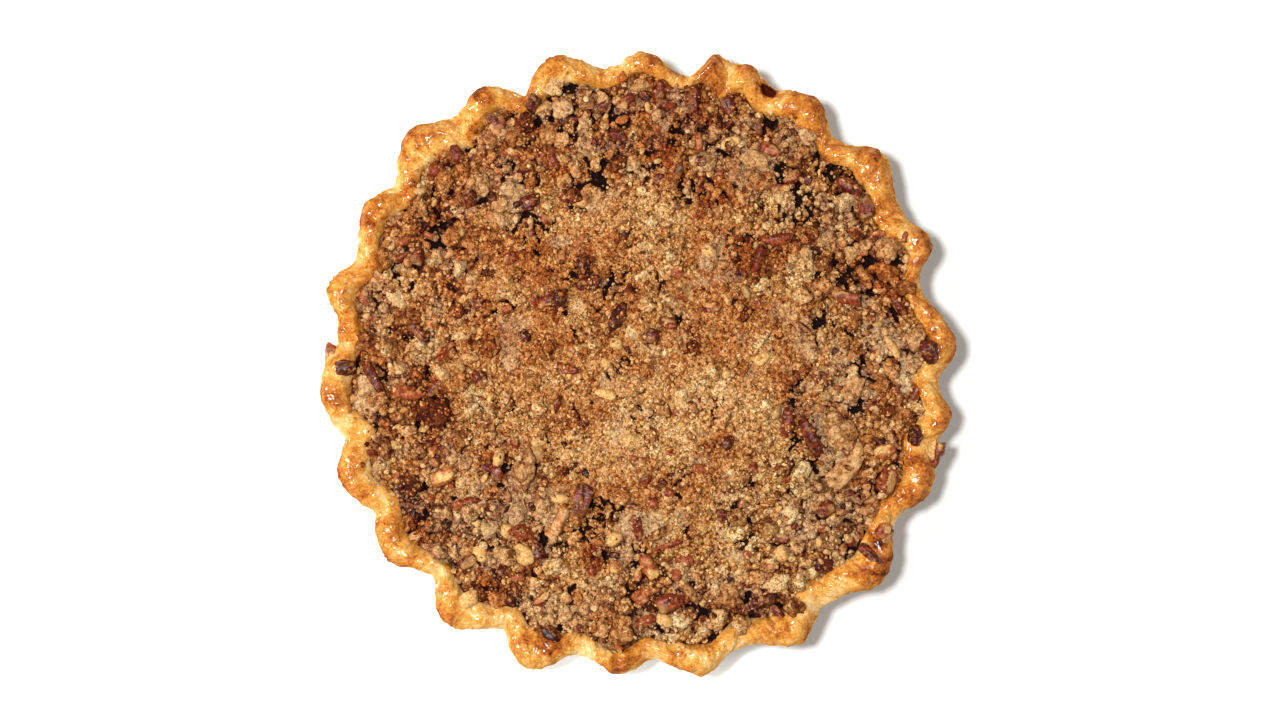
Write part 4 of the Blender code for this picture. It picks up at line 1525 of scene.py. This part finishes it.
    def build_bed(self) -> Object:
        """Rounds a grid to the rim's waves, raises it and gives it a side and a base.

        Returns:
            The bed.
        """
        shape = bmesh.new()
        bmesh.ops.create_grid(shape, x_segments=self.bed_cells, y_segments=self.bed_cells, size=1.0)
        boundary = [edge for edge in shape.edges if edge.is_boundary]
        side = bmesh.ops.extrude_edge_only(shape, edges=boundary)["geom"]
        for part in side:
            if isinstance(part, bmesh.types.BMVert):
                part.co.z = -1.0
        bmesh.ops.holes_fill(shape, edges=[edge for edge in shape.edges if edge.is_boundary], sides=0)
        bmesh.ops.recalc_face_normals(shape, faces=shape.faces)
        bmesh.ops.triangulate(shape, faces=shape.faces)
        bed = from_shape("crumb_bed", shape)
        points = corners_of(bed) * MM
        x = points[:, 0] * np.sqrt(1.0 - 0.5 * points[:, 1] ** 2)
        y = points[:, 1] * np.sqrt(1.0 - 0.5 * points[:, 0] ** 2)
        share = np.hypot(x, y)
        mean = self.crust.inner_mean
        edge = mean + (self.edge(x, y) - mean) * share**4
        x, y = x * edge, y * edge
        height = np.where(points[:, 2] < -0.5, self.bottom, self.bed_height(x, y))
        points = np.stack([x, y, height], axis=1)
        move_corners(bed, points)
        crumb = self.fine.fractal(flat(x, y) + 5.0, 1.6, 2)
        cracks = self.crevices(x, y)
        tone = 0.50 + 0.12 * crumb + 0.22 * self.shade(x, y)
        # Painted shade: darker among the lumps, where the clumps shade the bed, and much darker in the
        # cracks.
        tone = tone - 0.12 * self.chunkiness(x, y) - 1.1 * cracks
        self.store_tones(bed, tone, self.toast(x, y), 1.1 * self.flour(x, y) * (1.0 - cracks))
        faces = np.zeros(len(bed.data.polygons) * 3, np.int32)
        bed.data.loops.foreach_get("vertex_index", faces)
        self.heap.add(points, faces.reshape(-1, 3), BED_KIND)
        bed.data.materials.append(BED_FINISH.material())
        return bed

    def store_tones(self, obj: Object, tone: Array, toast: Array, flour: Array) -> None:
        """Stores what the crumb materials read.

        Args:
            obj: The piece.
            tone: Tone, one for each corner or for each crumb.
            toast: How brown, likewise.
            flour: How floury, likewise.
        """
        corners = len(obj.data.vertices)
        toast, flour = np.clip(toast, 0.0, 1.0), np.clip(flour, 0.0, 1.0)
        for name, values in (("tone", tone), ("toast", toast), ("flour", flour)):
            set_attribute(obj, name, np.repeat(values, corners // len(values)))

    # -- where pieces lie ------------------------------------------------------------------

    def landed(self, x: Array, y: Array) -> tuple[Array, Array, Array]:
        """Drops crumbs and keeps those that settle.

        Args:
            x: Places across.
            y: Places along.

        Returns:
            The numbers of those that settle, then the height and the normal where each lands.
        """
        height, normal, kind = self.heap.land(x, y)
        keep = (kind >= 0) & (self.draw.uniform(0.0, 1.0, len(x)) < SETTLING_SHARE[kind])
        return np.flatnonzero(keep), height[keep], normal[keep]

    def strewn(
        self, count: int, density: Callable[[Array, Array], Array], room: Array, spill: float
    ) -> tuple[Array, Array]:
        """Draws places by density.

        Args:
            count: How many places.
            density: Gives the density at places across and along, from 0 to 1.
            room: Room that each needs to the crust in millimetres.
            spill: How far the farthest lie beyond the crust's inner edge.

        Returns:
            x and y.
        """
        found = np.empty((2, 0))
        while found.shape[1] < count:
            x, y = self.draw.uniform(-FIELD, FIELD, (2, 3 * count))
            beyond = np.hypot(x, y) + np.resize(room, len(x)) - self.edge(x, y)
            keep = beyond < spill * self.draw.uniform(0.0, 1.0, len(x)) ** 3
            x, y = x[keep], y[keep]
            keep = self.draw.uniform(0.0, 1.0, len(x)) < density(x, y)
            found = np.concatenate([found, [x[keep], y[keep]]], axis=1)
        return found[0, :count], found[1, :count]

    def lumpy(self, low: float, high: float) -> Callable[[Array, Array], Array]:
        """Makes a density that rises with the chunkiness and avoids the crevices.

        Args:
            low: Density in the sandy middle.
            high: Density among the lumps.

        Returns:
            The density.
        """

        def density(x: Array, y: Array) -> Array:
            """Gives the density at places across and along."""
            closed = self.crevices(x, y) < self.open_crack
            return (low + (high - low) * self.chunkiness(x, y)) * closed

        return density

    def spaced(
        self, x: Array, y: Array, size: Array, taken: list[tuple[float, float, float]]
    ) -> Array:
        """Says which places keep clear of those taken already.

        Args:
            x: Places across.
            y: Places along.
            size: The width of each.
            taken: x, y and width of what lies there, which grows with each kept place.

        Returns:
            True for each kept place.
        """
        keep = np.zeros(len(x), bool)
        for i in range(len(x)):
            others = np.array(taken)
            away = np.hypot(others[:, 0] - x[i], others[:, 1] - y[i])
            if (away > self.spacing * (others[:, 2] + size[i])).all():
                keep[i] = True
                taken.append((x[i], y[i], size[i]))
        return keep

    def gathered(
        self, kind: PieceKind, x: Array, y: Array, length: Array, width: Array
    ) -> tuple[list[NamedPiece], Array, Array]:
        """Puts the named pieces of one kind in front of drawn ones.

        Args:
            kind: Which kind; chips go with the pecans.
            x: Places of the drawn ones across.
            y: Their places along.
            length: Their lengths.
            width: Their widths.

        Returns:
            The named pieces, then x, y, length, width and turn of all in rows, then which are named.
        """
        kinds = (kind, PieceKind.CHIP) if kind is PieceKind.PECAN else (kind,)
        chosen = [piece for piece in NAMED_PIECES if piece.kind in kinds]
        spin = self.draw.uniform(0.0, math.tau, len(x))
        drawn = np.stack([x, y, length, width, spin])
        rows = np.concatenate([rows_of(chosen), drawn], axis=1)
        return chosen, rows, np.arange(rows.shape[1]) < len(chosen)

    def lying(self, rows: Array, tall: Array, lift: Array | float, lean: float) -> Crumbs:
        """Lays pieces on the heap, almost level.

        Args:
            rows: x, y, length, width and turn of all in rows.
            tall: Their heights.
            lift: How high each middle lies, as a share of its height.
            lean: How far they lean in radians, as a spread.

        Returns:
            The pieces where they lie.
        """
        x, y, length, width, spin = rows
        place = np.stack([x, y, self.heap.land(x, y)[0] + lift * tall], axis=1)
        leans = self.draw.normal(0.0, lean, (2, len(x)))
        half = 0.5 * np.stack([length, width, tall], axis=1)
        return Crumbs(place, half, np.stack([*leans, spin], axis=1))

    def fused(
        self,
        name: str,
        crumbs: Crumbs,
        seed: SeedShape,
        forms: Array,
        finish: CrumbFinish | PecanFinish,
        kind: int | None = None,
    ) -> Object:
        """Makes crumbs of one kind one piece, on which later ones can land.

        Args:
            name: The piece's name.
            crumbs: The crumbs.
            seed: Their seed shape.
            forms: The corners of each.
            finish: Their finish.
            kind: Their kind in the heap, or None for flat-faced sand, on which nothing lands.

        Returns:
            The piece.
        """
        points, faces = crumbs.mesh(seed, forms)
        piece = mesh_object(name, points, faces, kind is not None)
        piece.data.materials.append(finish.material())
        if kind is not None:
            self.heap.add(points, faces, kind)
        return piece

    # -- clumps ----------------------------------------------------------------------------

    def build_clumps(self, taken: list[tuple[float, float, float]]) -> Object:
        """Lays the clumps of fused crumble, the named ones first.

        Args:
            taken: What lies on the bed so far.

        Returns:
            The clumps as one piece.
        """
        size = self.draw.uniform(3.8, 8.2, self.clumps * 2)
        x, y = self.strewn(self.clumps * 2, self.lumpy(0.20, 1.0), 0.3 * size, self.clump_spill)
        keep = np.flatnonzero(self.spaced(x, y, size, taken))[: self.clumps]
        x, y, size = x[keep], y[keep], size[keep]
        slim = size * self.draw.uniform(0.62, 0.98, len(x))
        chosen, rows, is_named = self.gathered(PieceKind.CLUMP, x, y, size, slim)
        x, y, _, width, _ = rows
        tone = np.clip(0.45 + self.draw.normal(0.0, 0.18, len(x)), 0.1, 0.72)
        tone[is_named] = [0.15 + 0.7 * piece.tone for piece in chosen]
        tall = width * self.draw.uniform(0.5, 0.8, len(x))
        crumbs = self.lying(rows, tall, 0.18, 0.16)
        seed, forms, rough = CLUMP_BREAKAGE.lumps(self.draw, self.fine, crumbs)
        clumps = self.fused("crumb_clumps", crumbs, seed, forms, CLUMP_FINISH, CLUMP_KIND)
        up = crumbs.up(forms)
        tones = np.repeat(tone + 0.20 * self.shade(x, y), len(seed.points))
        # Painted light and shade: lighter on each clump's top and bumps, darker underneath and in its
        # dips.
        tones += 0.10 * up + 0.16 * rough.ravel() - 0.45 * np.clip(-up - 0.1, 0.0, 1.0)
        toast = self.toast(x, y) + self.draw.normal(0.0, 0.15, len(x)) + 0.8 * (0.45 - tone)
        flour = self.flour(x, y) * self.draw.uniform(0.1, 1.0, len(x))
        self.store_tones(clumps, tones, toast, flour)
        return clumps

    def build_dough(self) -> Object:
        """Lays the flat, pale pieces of dry dough on the bed.

        Returns:
            The dough pieces as one piece.
        """
        chosen = [piece for piece in NAMED_PIECES if piece.kind is PieceKind.DOUGH]
        rows = rows_of(chosen)
        crumbs = self.lying(rows, 0.45 * rows[3], 0.34, 0.06)
        seed, forms, rough = DOUGH_BREAKAGE.lumps(self.draw, self.fine, crumbs)
        dough = self.fused("dough_pieces", crumbs, seed, forms, DOUGH_FINISH, DOUGH_KIND)
        # Painted light and shade: lighter on the bumps, darker in the dips and underneath.
        tone = np.repeat([p.tone for p in chosen], len(seed.points)) + 0.3 * rough.ravel()
        tone -= 0.5 * np.clip(-crumbs.up(forms) - 0.1, 0.0, 1.0)
        toast = 0.8 * self.toast(*rows[:2])
        self.store_tones(dough, tone - 0.12, toast, np.full(len(chosen), 0.1))
        return dough

    # -- nuts ------------------------------------------------------------------------------

    def nut_forms(self, seed: SeedShape, whole: Array, half: Array) -> tuple[Array, Array]:
        """Bends the seed shape to chopped pecans: blunt, grooved along, wrinkled and broken across.

        Args:
            seed: The seed shape.
            whole: How whole each nut is, from 0 for a chip to 1.
            half: The half axes of each nut in millimetres.

        Returns:
            The corners of each nut, and how far each corner is broken flesh.
        """
        count = len(whole)
        ends, girth = np.abs(seed.points[:, 0]), np.hypot(*seed.points[:, 1:].T)
        blunt = (ends**5.0 + girth**5.0) ** (-1.0 / 5.0)
        size = np.linalg.norm(seed.chunks(self.draw, count, 9, SHARPNESS, 0.58), axis=2) ** 0.9
        size *= blunt ** (0.3 + 0.5 * whole[:, None])
        x, y, z = (size * axis for axis in seed.points.T)
        around = np.arctan2(z, y)
        phase = self.draw.uniform(0.0, math.pi, (count, 1))
        groove = np.exp(-((np.sin(1.5 * around + phase + 0.5 * x) / 0.30) ** 2))
        depth = self.draw.uniform(0.12, 0.34, (count, 1))
        taper = 1.0 - self.draw.uniform(0.0, 0.2, (count, 1)) * x * x
        taper = taper + self.draw.uniform(-0.25, 0.25, (count, 1)) * x
        thin = (1.0 - depth * groove * (1.0 - np.clip(x * x, 0.0, 1.0) ** 3)) * taper
        y, z = y * thin, z * thin
        y = y + self.draw.uniform(-0.3, 0.3, (count, 1)) * x * x
        flesh = np.zeros_like(x)
        spare = 0.3 * whole[:, None]
        for *way, near, far in NUT_SIDES:
            normal = self.draw.normal(0.0, 0.35, (3, count, 1)) + np.array(way)[:, None, None]
            normal /= np.linalg.norm(normal, axis=0)
            level = self.draw.uniform(near, far, (count, 1)) + spare
            over = np.maximum(0.0, normal[0] * x + normal[1] * y + normal[2] * z - level)
            x, y, z = x - normal[0] * over, y - normal[1] * over, z - normal[2] * over
            flesh = np.maximum(flesh, smoothstep(0.0, 0.10, over))
        forms = np.stack([x, y, z], axis=2)
        places = forms * half[:, None] + 23.0 * np.arange(count)[:, None, None]
        places = places.reshape(-1, 3)
        knobs = self.fine.fractal(places, 2.4, 2).reshape(count, -1)
        folds = self.fine.at(places * (1.0, 0.3, 0.3), 1.1).reshape(count, -1)
        wrinkles = 1.0 - 2.0 * np.abs(folds)
        return forms * (1.08 + 0.19 * knobs + 0.09 * wrinkles)[:, :, None], flesh

    def store_nut(
        self,
        nuts: Object,
        tone: Array,
        dust: Array,
        flesh: Array,
        forms: Array,
        half: Array,
    ) -> None:
        """Stores what the pecan material reads.

        Args:
            nuts: The piece.
            tone: Tone of each nut.
            dust: How dusty each nut is.
            flesh: How far each corner is broken flesh.
            forms: The corners of each nut.
            half: The half axes of each nut in millimetres.
        """
        along = forms[:, :, 0] * half[:, :1] + 31.7 * np.arange(len(forms))[:, None]
        set_attribute(nuts, "tone", np.repeat(tone, forms.shape[1]))
        set_attribute(nuts, "dust", np.repeat(dust, forms.shape[1]))
        set_attribute(nuts, "flesh", flesh.ravel())
        set_attribute(nuts, "along", along.ravel())

    def build_nuts(self, taken: list[tuple[float, float, float]]) -> Object:
        """Lays the pecan pieces, the named ones first.

        Args:
            taken: What lies on the bed so far.

        Returns:
            The pecans as one piece.
        """
        size = np.clip(self.draw.lognormal(1.25, 0.28, self.nuts * 2), 2.2, 6.2)
        x, y = self.strewn(self.nuts * 2, self.lumpy(0.25, 1.0), 0.4 * size, 0.5 * self.clump_spill)
        keep = np.flatnonzero(self.spaced(x, y, 0.6 * size, taken))[: self.nuts]
        x, y, size = x[keep], y[keep], size[keep]
        slim = size * self.draw.uniform(0.5, 0.95, len(x))
        chosen, rows, is_named = self.gathered(PieceKind.PECAN, x, y, size, slim)
        length, width = rows[2:4]
        count = len(length)
        tone = np.clip(self.draw.normal(0.43, 0.22, count), 0.05, 1.0)
        tone[is_named] = [0.14 + 0.75 * piece.tone for piece in chosen]
        whole = self.draw.uniform(0.0, 0.5, count)
        whole[is_named] = 1.0
        tall = width * np.where(is_named, 0.95, self.draw.uniform(0.6, 0.9, count))
        crumbs = self.lying(rows, tall, np.where(is_named, 0.10, 0.04), 0.2)
        crumbs.turns[:, 0] += self.draw.uniform(0.0, math.tau, count)
        seed = SeedShape(3)
        forms, flesh = self.nut_forms(seed, whole, crumbs.half)
        chips = self.draw.uniform(0.0, 1.0, count) < self.chip_share
        chips[is_named] = [piece.kind is PieceKind.CHIP for piece in chosen]
        flesh *= smoothstep(0.1, 0.7, tone)[:, None]
        flesh[chips] = np.clip(0.55 + 0.45 * tone[chips], 0.0, 1.0)[:, None]
        broken = seed.chunks(self.draw, count, 8, SHARPNESS, 0.55)
        forms[chips] = 0.5 * forms[chips] + 0.55 * broken[chips]
        nuts = self.fused("pecan_pieces", crumbs, seed, forms, PECAN_FINISH, NUT_KIND)
        dust = np.where(is_named & (length < 11.0), 0.5, 0.3)
        self.store_nut(nuts, tone, dust, flesh, forms, crumbs.half)
        return nuts

    # -- nuggets and sand ------------------------------------------------------------------

    def build_nuggets(self) -> Object:
        """Drops the small lumps, two to four millimetres wide, on the clumps and nuts."""
        size = np.clip(self.draw.lognormal(1.0, 0.26, self.nuggets), 1.8, 4.4)
        x, y = self.strewn(self.nuggets, self.lumpy(0.30, 1.0), 0.4 * size, self.spill)
        keep, height, normal = self.landed(x, y)
        x, y, size = x[keep], y[keep], size[keep]
        half = 0.5 * size[:, None] * self.draw.uniform(0.7, 1.1, (len(x), 3))
        place = np.stack([x, y, height], axis=1) + normal * (0.04 * size)[:, None]
        crumbs = Crumbs(place, half, self.draw.uniform(0.0, math.tau, (len(x), 3)))
        seed, forms, _ = NUGGET_BREAKAGE.lumps(self.draw, self.fine, crumbs)
        nuggets = self.fused("crumb_nuggets", crumbs, seed, forms, NUGGET_FINISH, NUGGET_KIND)
        tone = 0.5 + self.draw.normal(0.0, 0.21, len(x)) + 0.20 * self.shade(x, y)
        toast = self.toast(x, y) + self.draw.normal(0.0, 0.24, len(x))
        flour = self.flour(x, y) * self.draw.uniform(0.0, 1.2, len(x))
        self.store_tones(nuggets, tone, toast, flour)
        return nuggets

    def build_sand(self, finish: CrumbFinish, brown: float) -> Object:
        """Sifts sand over everything, mostly where the crumble baked as brown as this sand.

        Args:
            finish: Its finish, whose name it takes.
            brown: How brown this sand is, from 0 to 1.

        Returns:
            The sand as one piece.
        """

        def density(x: Array, y: Array) -> Array:
            """Gives the density at places across and along."""
            like = 0.15 + 0.85 * np.exp(-(((self.toast(x, y) - brown) / 0.28) ** 2))
            bare = (1.0 - 0.55 * self.flour(x, y)) * (1.0 - 0.95 * self.crevices(x, y))
            return like * bare * (1.0 - 0.66 * self.chunkiness(x, y))

        size = np.clip(self.draw.lognormal(0.25, 0.28, self.sand), 0.8, 2.4)
        x, y = self.strewn(self.sand, density, 0.3 * size, self.spill)
        keep, height, normal = self.landed(x, y)
        x, y, size = x[keep], y[keep], size[keep]
        half = 0.5 * size[:, None] * self.draw.uniform(0.55, 1.25, (len(x), 3))
        sunk = self.draw.uniform(-0.12, 0.16, len(x))
        place = np.stack([x, y, height], axis=1) + normal * (sunk * size)[:, None]
        crumbs = Crumbs(place, half, self.draw.uniform(0.0, math.tau, (len(x), 3)))
        seed = SeedShape(1)
        bent = self.draw.uniform(0.62, 1.25, (len(x), len(seed.points)))
        sand = self.fused(finish.name, crumbs, seed, seed.points[None] * bent[:, :, None], finish)
        tone = 0.55 + self.draw.normal(0.0, 0.16, len(x)) + 0.20 * self.shade(x, y)
        toast = self.toast(x, y) + self.draw.normal(0.0, 0.22, len(x))
        self.store_tones(sand, tone, toast, 0.8 * self.flour(x, y))
        return sand

    def build(self, crust: Object) -> list[Object]:
        """Builds the whole topping, from the bed upwards.

        Args:
            crust: The finished crust, on which some crumbs land.

        Returns:
            Its pieces.
        """
        self.heap.add_object(crust, CRUST_KIND, self.bottom)
        pieces = [self.build_bed()]
        taken = [(piece.x, piece.y, piece.length) for piece in NAMED_PIECES]
        pieces.append(self.build_clumps(taken))
        pieces.append(self.build_dough())
        pieces.append(self.build_nuts(taken))
        pieces.append(self.build_nuggets())
        pieces += [self.build_sand(finish, brown) for finish, brown in SANDS]
        return pieces


BED_FINISH = CrumbFinish(
    name="crumble_bed",
    tones=((0.0, "160804"), (0.2, "501E0A"), (0.42, "9B622A"), (0.62, "C69857"), (0.85, "DDBF8D")),
    pit_share=0.6,
)
CLUMP_FINISH = CrumbFinish(
    name="crumble_clumps",
    tones=((0.0, "361306"), (0.28, "80481D"), (0.55, "BC8B4D"), (0.8, "DDB981"), (1.0, "E8CD99")),
    drift_share=0.6,
    speck_share=0.5,
    pit_share=0.4,
    cell_mm=1.3,
)
DOUGH_FINISH = CrumbFinish(
    name="dry_dough",
    tones=((0.0, "4E260E"), (0.3, "A06A34"), (0.6, "CFA46A"), (1.0, "DFC18A")),
    drift_share=0.6,
    speck_share=0.5,
    pore_share=0.6,
    cell_mm=1.7,
    pit_share=0.4,
)
NUGGET_FINISH = CrumbFinish(
    name="crumble_nuggets",
    tones=((0.0, "3E1707"), (0.28, "864B1D"), (0.55, "C4934F"), (0.8, "E4BF83"), (1.0, "EBD09B")),
    drift_share=0.5,
    speck_share=0.4,
    pit_share=0.3,
    cell_mm=1.2,
)
TOASTED_SAND = CrumbFinish(
    name="toasted_sand",
    tones=((0.0, "4E2009"), (0.3, "8F5321"), (0.55, "BE8647"), (1.0, "DDB06F")),
)
GOLDEN_SAND = CrumbFinish(
    name="golden_sand",
    tones=((0.0, "5A290B"), (0.3, "9F692B"), (0.55, "CE9E59"), (1.0, "ECCB8D")),
)
PALE_SAND = CrumbFinish(
    name="pale_sand",
    tones=((0.0, "5E381C"), (0.3, "A27B48"), (0.55, "CFA86C"), (1.0, "ECD3A2")),
)
# The sands from the bottom up, each with how brown it is, from 0 to 1.
SANDS = ((TOASTED_SAND, 0.8), (GOLDEN_SAND, 0.45), (PALE_SAND, 0.1))
PECAN_FINISH = PecanFinish()


@dataclass
class StrayNuts:
    """Two nut pieces that fell over the rim and baked on to its outer side."""

    rows: tuple[tuple[float, float, float, float, float], ...] = (
        # angle deg, distance from the axis, height, length, width
        (342.9, 123.4, 40.6, 9.2, 7.4),
        (178.0, 123.0, 41.0, 8.0, 5.2),
    )
    tilt: float = 0.25
    tones: tuple[float, float] = (0.4, 0.5)
    dust: float = 0.4

    def build(self, topping: CrumbleTopping) -> Object:
        """Places them.

        Args:
            topping: The topping, which shapes its nuts alike.

        Returns:
            Both nuts as one piece.
        """
        angle, away, height, length, width = np.array(self.rows).T
        turn = np.radians(angle)
        place = np.stack([away * np.cos(turn), away * np.sin(turn), height], axis=1)
        half = 0.5 * np.stack([length, width, width], axis=1)
        tilt = np.full(len(turn), self.tilt)
        seed = SeedShape(4)
        forms, flesh = topping.nut_forms(seed, np.ones(len(turn)), half)
        crumbs = Crumbs(place, half, np.stack([tilt, tilt, turn + 0.5 * math.pi], axis=1))
        points, faces = crumbs.mesh(seed, forms)
        nuts = mesh_object("stray_nuts", points, faces, True)
        dust = np.full(len(turn), self.dust)
        topping.store_nut(nuts, np.array(self.tones), dust, flesh, forms, half)
        nuts.data.materials.append(PECAN_FINISH.material())
        return nuts


# --------------------------------------------------------------------------------------------
# Tin
# --------------------------------------------------------------------------------------------


@dataclass(frozen=True)
class SpunAluminium:
    """Aluminium sheet spun over a form: satin, with fine turning rings."""

    colour: str = "DCDDDE"
    roughness: float = 0.34
    ring_mm: float = 0.7
    ring_height: float = 0.03
    ring_strength: float = 0.25
    smear_mm: float = 14.0
    smear_share: float = 0.22

    def material(self) -> Material:
        """Builds the material."""
        material, tree, shader = new_material("spun_aluminium")
        place = object_place(tree)
        scale = 0.05 / (self.ring_mm * MM)
        inputs = {"Vector": place, "Scale": scale, "Distortion": 0.4, "Detail": 3.0}
        rings = add_node(tree, "ShaderNodeTexWave", inputs, wave_type="RINGS", rings_direction="Z")
        smear = noise_at(tree, place, self.smear_mm, 4.0)
        least = self.roughness - 0.5 * self.smear_share
        inputs = {
            "Base Color": linear(self.colour),
            "Metallic": 1.0,
            "Roughness": maths(tree, "MULTIPLY_ADD", smear, self.smear_share, least),
            "Normal": relief(tree, rings.outputs["Fac"], self.ring_height, self.ring_strength),
        }
        feed(tree, shader, inputs)
        return material


@dataclass
class PieTin:
    """The tin: flat base, sloping wall, narrow flange and rolled edge."""

    height: float = 36.0
    base_radius: float = 86.0
    mouth_radius: float = 106.5
    edge_radius: float = 113.0
    wall: float = 0.8
    bead_radius: float = 1.4
    corner_radius: float = 4.0
    steps: int = 256
    finish: SpunAluminium = SpunAluminium()

    def corner(self, inset: float, lift: float, flip: bool) -> list[tuple[float, float]]:
        """Rounds the corner between base and wall.

        Args:
            inset: How far inside the tin's outer side the corner's surface lies.
            lift: Height of that surface's base.
            flip: Whether the points run from the wall to the base.

        Returns:
            (radius, height) points.
        """
        slope = math.atan2(self.height, self.mouth_radius - self.base_radius)
        radius = self.corner_radius - inset
        centre = (self.base_radius - self.corner_radius, self.corner_radius)
        turns = np.linspace(-0.5 * math.pi, slope - 0.5 * math.pi, 7)
        points = [(centre[0] + radius * math.cos(t), centre[1] + radius * math.sin(t)) for t in turns]
        points = [(r, max(h, lift)) for r, h in points]
        return points[::-1] if flip else points

    def build(self) -> Object:
        """Spins the tin.

        Returns:
            The tin.
        """
        bead = (self.edge_radius - self.bead_radius, self.height - self.bead_radius)
        profile = [(0.0, self.wall)]
        profile += self.corner(self.wall, self.wall, False)
        profile.append((self.mouth_radius, self.height))
        for turn in np.radians(np.linspace(90.0, -150.0, 13)):
            across, up = self.bead_radius * math.cos(turn), self.bead_radius * math.sin(turn)
            profile.append((bead[0] + across, bead[1] + up))
        profile.append((self.mouth_radius + self.wall, self.height - self.wall))
        profile += self.corner(0.0, 0.0, True)
        profile.append((0.0, 0.0))
        tin = spun("tin", profile, self.steps)
        tin.data.materials.append(self.finish.material())
        return tin


# --------------------------------------------------------------------------------------------
# Studio
# --------------------------------------------------------------------------------------------


@dataclass(frozen=True)
class SoftLight:
    """A round soft light: the direction it hangs in, its distance, width and power."""

    name: str
    turn_deg: float
    height_deg: float
    distance: float
    size: float
    power: float

    def hang(self) -> None:
        """Hangs the light over the middle of the pie."""
        light = bpy.data.lights.new(self.name, "AREA")
        light.shape = "DISK"
        light.size = self.size
        light.energy = self.power
        lamp = bpy.data.objects.new(self.name, light)
        turn, up = math.radians(self.turn_deg), math.radians(self.height_deg)
        away = Vector((math.cos(turn) * math.cos(up), math.sin(turn) * math.cos(up), math.sin(up)))
        lamp.location = away * self.distance
        lamp.rotation_euler = away.to_track_quat("Z", "Y").to_euler()
        bpy.context.scene.collection.objects.link(lamp)


@dataclass
class Studio:
    """White floor, a soft key light high up, a weaker raking one, white surroundings and the camera."""

    centre_x: float = 0.0010
    centre_y: float = 0.0012
    rim_height: float = 0.044
    view_width: float = 0.5120
    distance: float = 1.30
    lean_right_deg: float = 1.6
    lean_down_deg: float = 0.6
    lights: tuple[SoftLight, ...] = (
        SoftLight("key", 163.0, 83.3, 1.7, 0.14, 22.3),
        SoftLight("rake", 188.0, 44.0, 1.6, 0.4, 16.5),
    )
    surround: float = 0.34
    floor_size: float = 6.0

    def build(self) -> None:
        """Sets the floor, the lights and the camera."""
        self.build_floor()
        for light in self.lights:
            light.hang()
        self.build_surroundings()
        self.build_camera()

    def build_floor(self) -> None:
        """Lays a white floor under the pie."""
        shape = bmesh.new()
        bmesh.ops.create_grid(shape, x_segments=1, y_segments=1, size=0.5 * self.floor_size)
        mesh = bpy.data.meshes.new("floor")
        shape.to_mesh(mesh)
        shape.free()
        floor = placed("floor", mesh)
        material, tree, shader = new_material("white_floor")
        feed(tree, shader, {"Base Color": linear("FCFCFB"), "Roughness": 0.9})
        floor.data.materials.append(material)

    def build_surroundings(self) -> None:
        """Lights the pie evenly from all sides."""
        world = bpy.data.worlds.new("studio")
        world.use_nodes = True
        background = world.node_tree.nodes["Background"]
        background.inputs["Color"].default_value = linear("FFFFFF")
        background.inputs["Strength"].default_value = self.surround
        bpy.context.scene.world = world
        bpy.context.scene.view_settings.view_transform = "Standard"

    def build_camera(self) -> None:
        """Hangs the camera almost straight above the pie."""
        data = bpy.data.cameras.new("camera")
        data.sensor_width = 36.0
        data.lens = data.sensor_width * self.distance / self.view_width
        camera = bpy.data.objects.new("camera", data)
        right = math.tan(math.radians(self.lean_right_deg))
        down = math.tan(math.radians(self.lean_down_deg))
        away = Vector((right, -down, 1.0)).normalized() * self.distance
        back = away.normalized()
        across = Vector((0.0, 1.0, 0.0)).cross(back).normalized()
        axes = Matrix((across, back.cross(across), back)).transposed()
        camera.location = Vector((self.centre_x, self.centre_y, self.rim_height)) + away
        camera.rotation_euler = axes.to_euler()
        bpy.context.scene.collection.objects.link(camera)
        bpy.context.scene.camera = camera


def main() -> None:
    """Builds the pie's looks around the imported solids."""
    logging.basicConfig(level=logging.INFO, format="%(name)s: %(message)s")
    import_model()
    Studio().build()
    crust = FlutedCrust()
    case = crust.build()
    settle(case, "pastry_case")
    topping = CrumbleTopping(crust)
    for piece in topping.build(case):
        settle(piece, "crumble_topping")
    settle(StrayNuts().build(topping), "pastry_case")
    settle(PieTin().build(), "pie_tin")


if __name__ == "__main__":
    main()
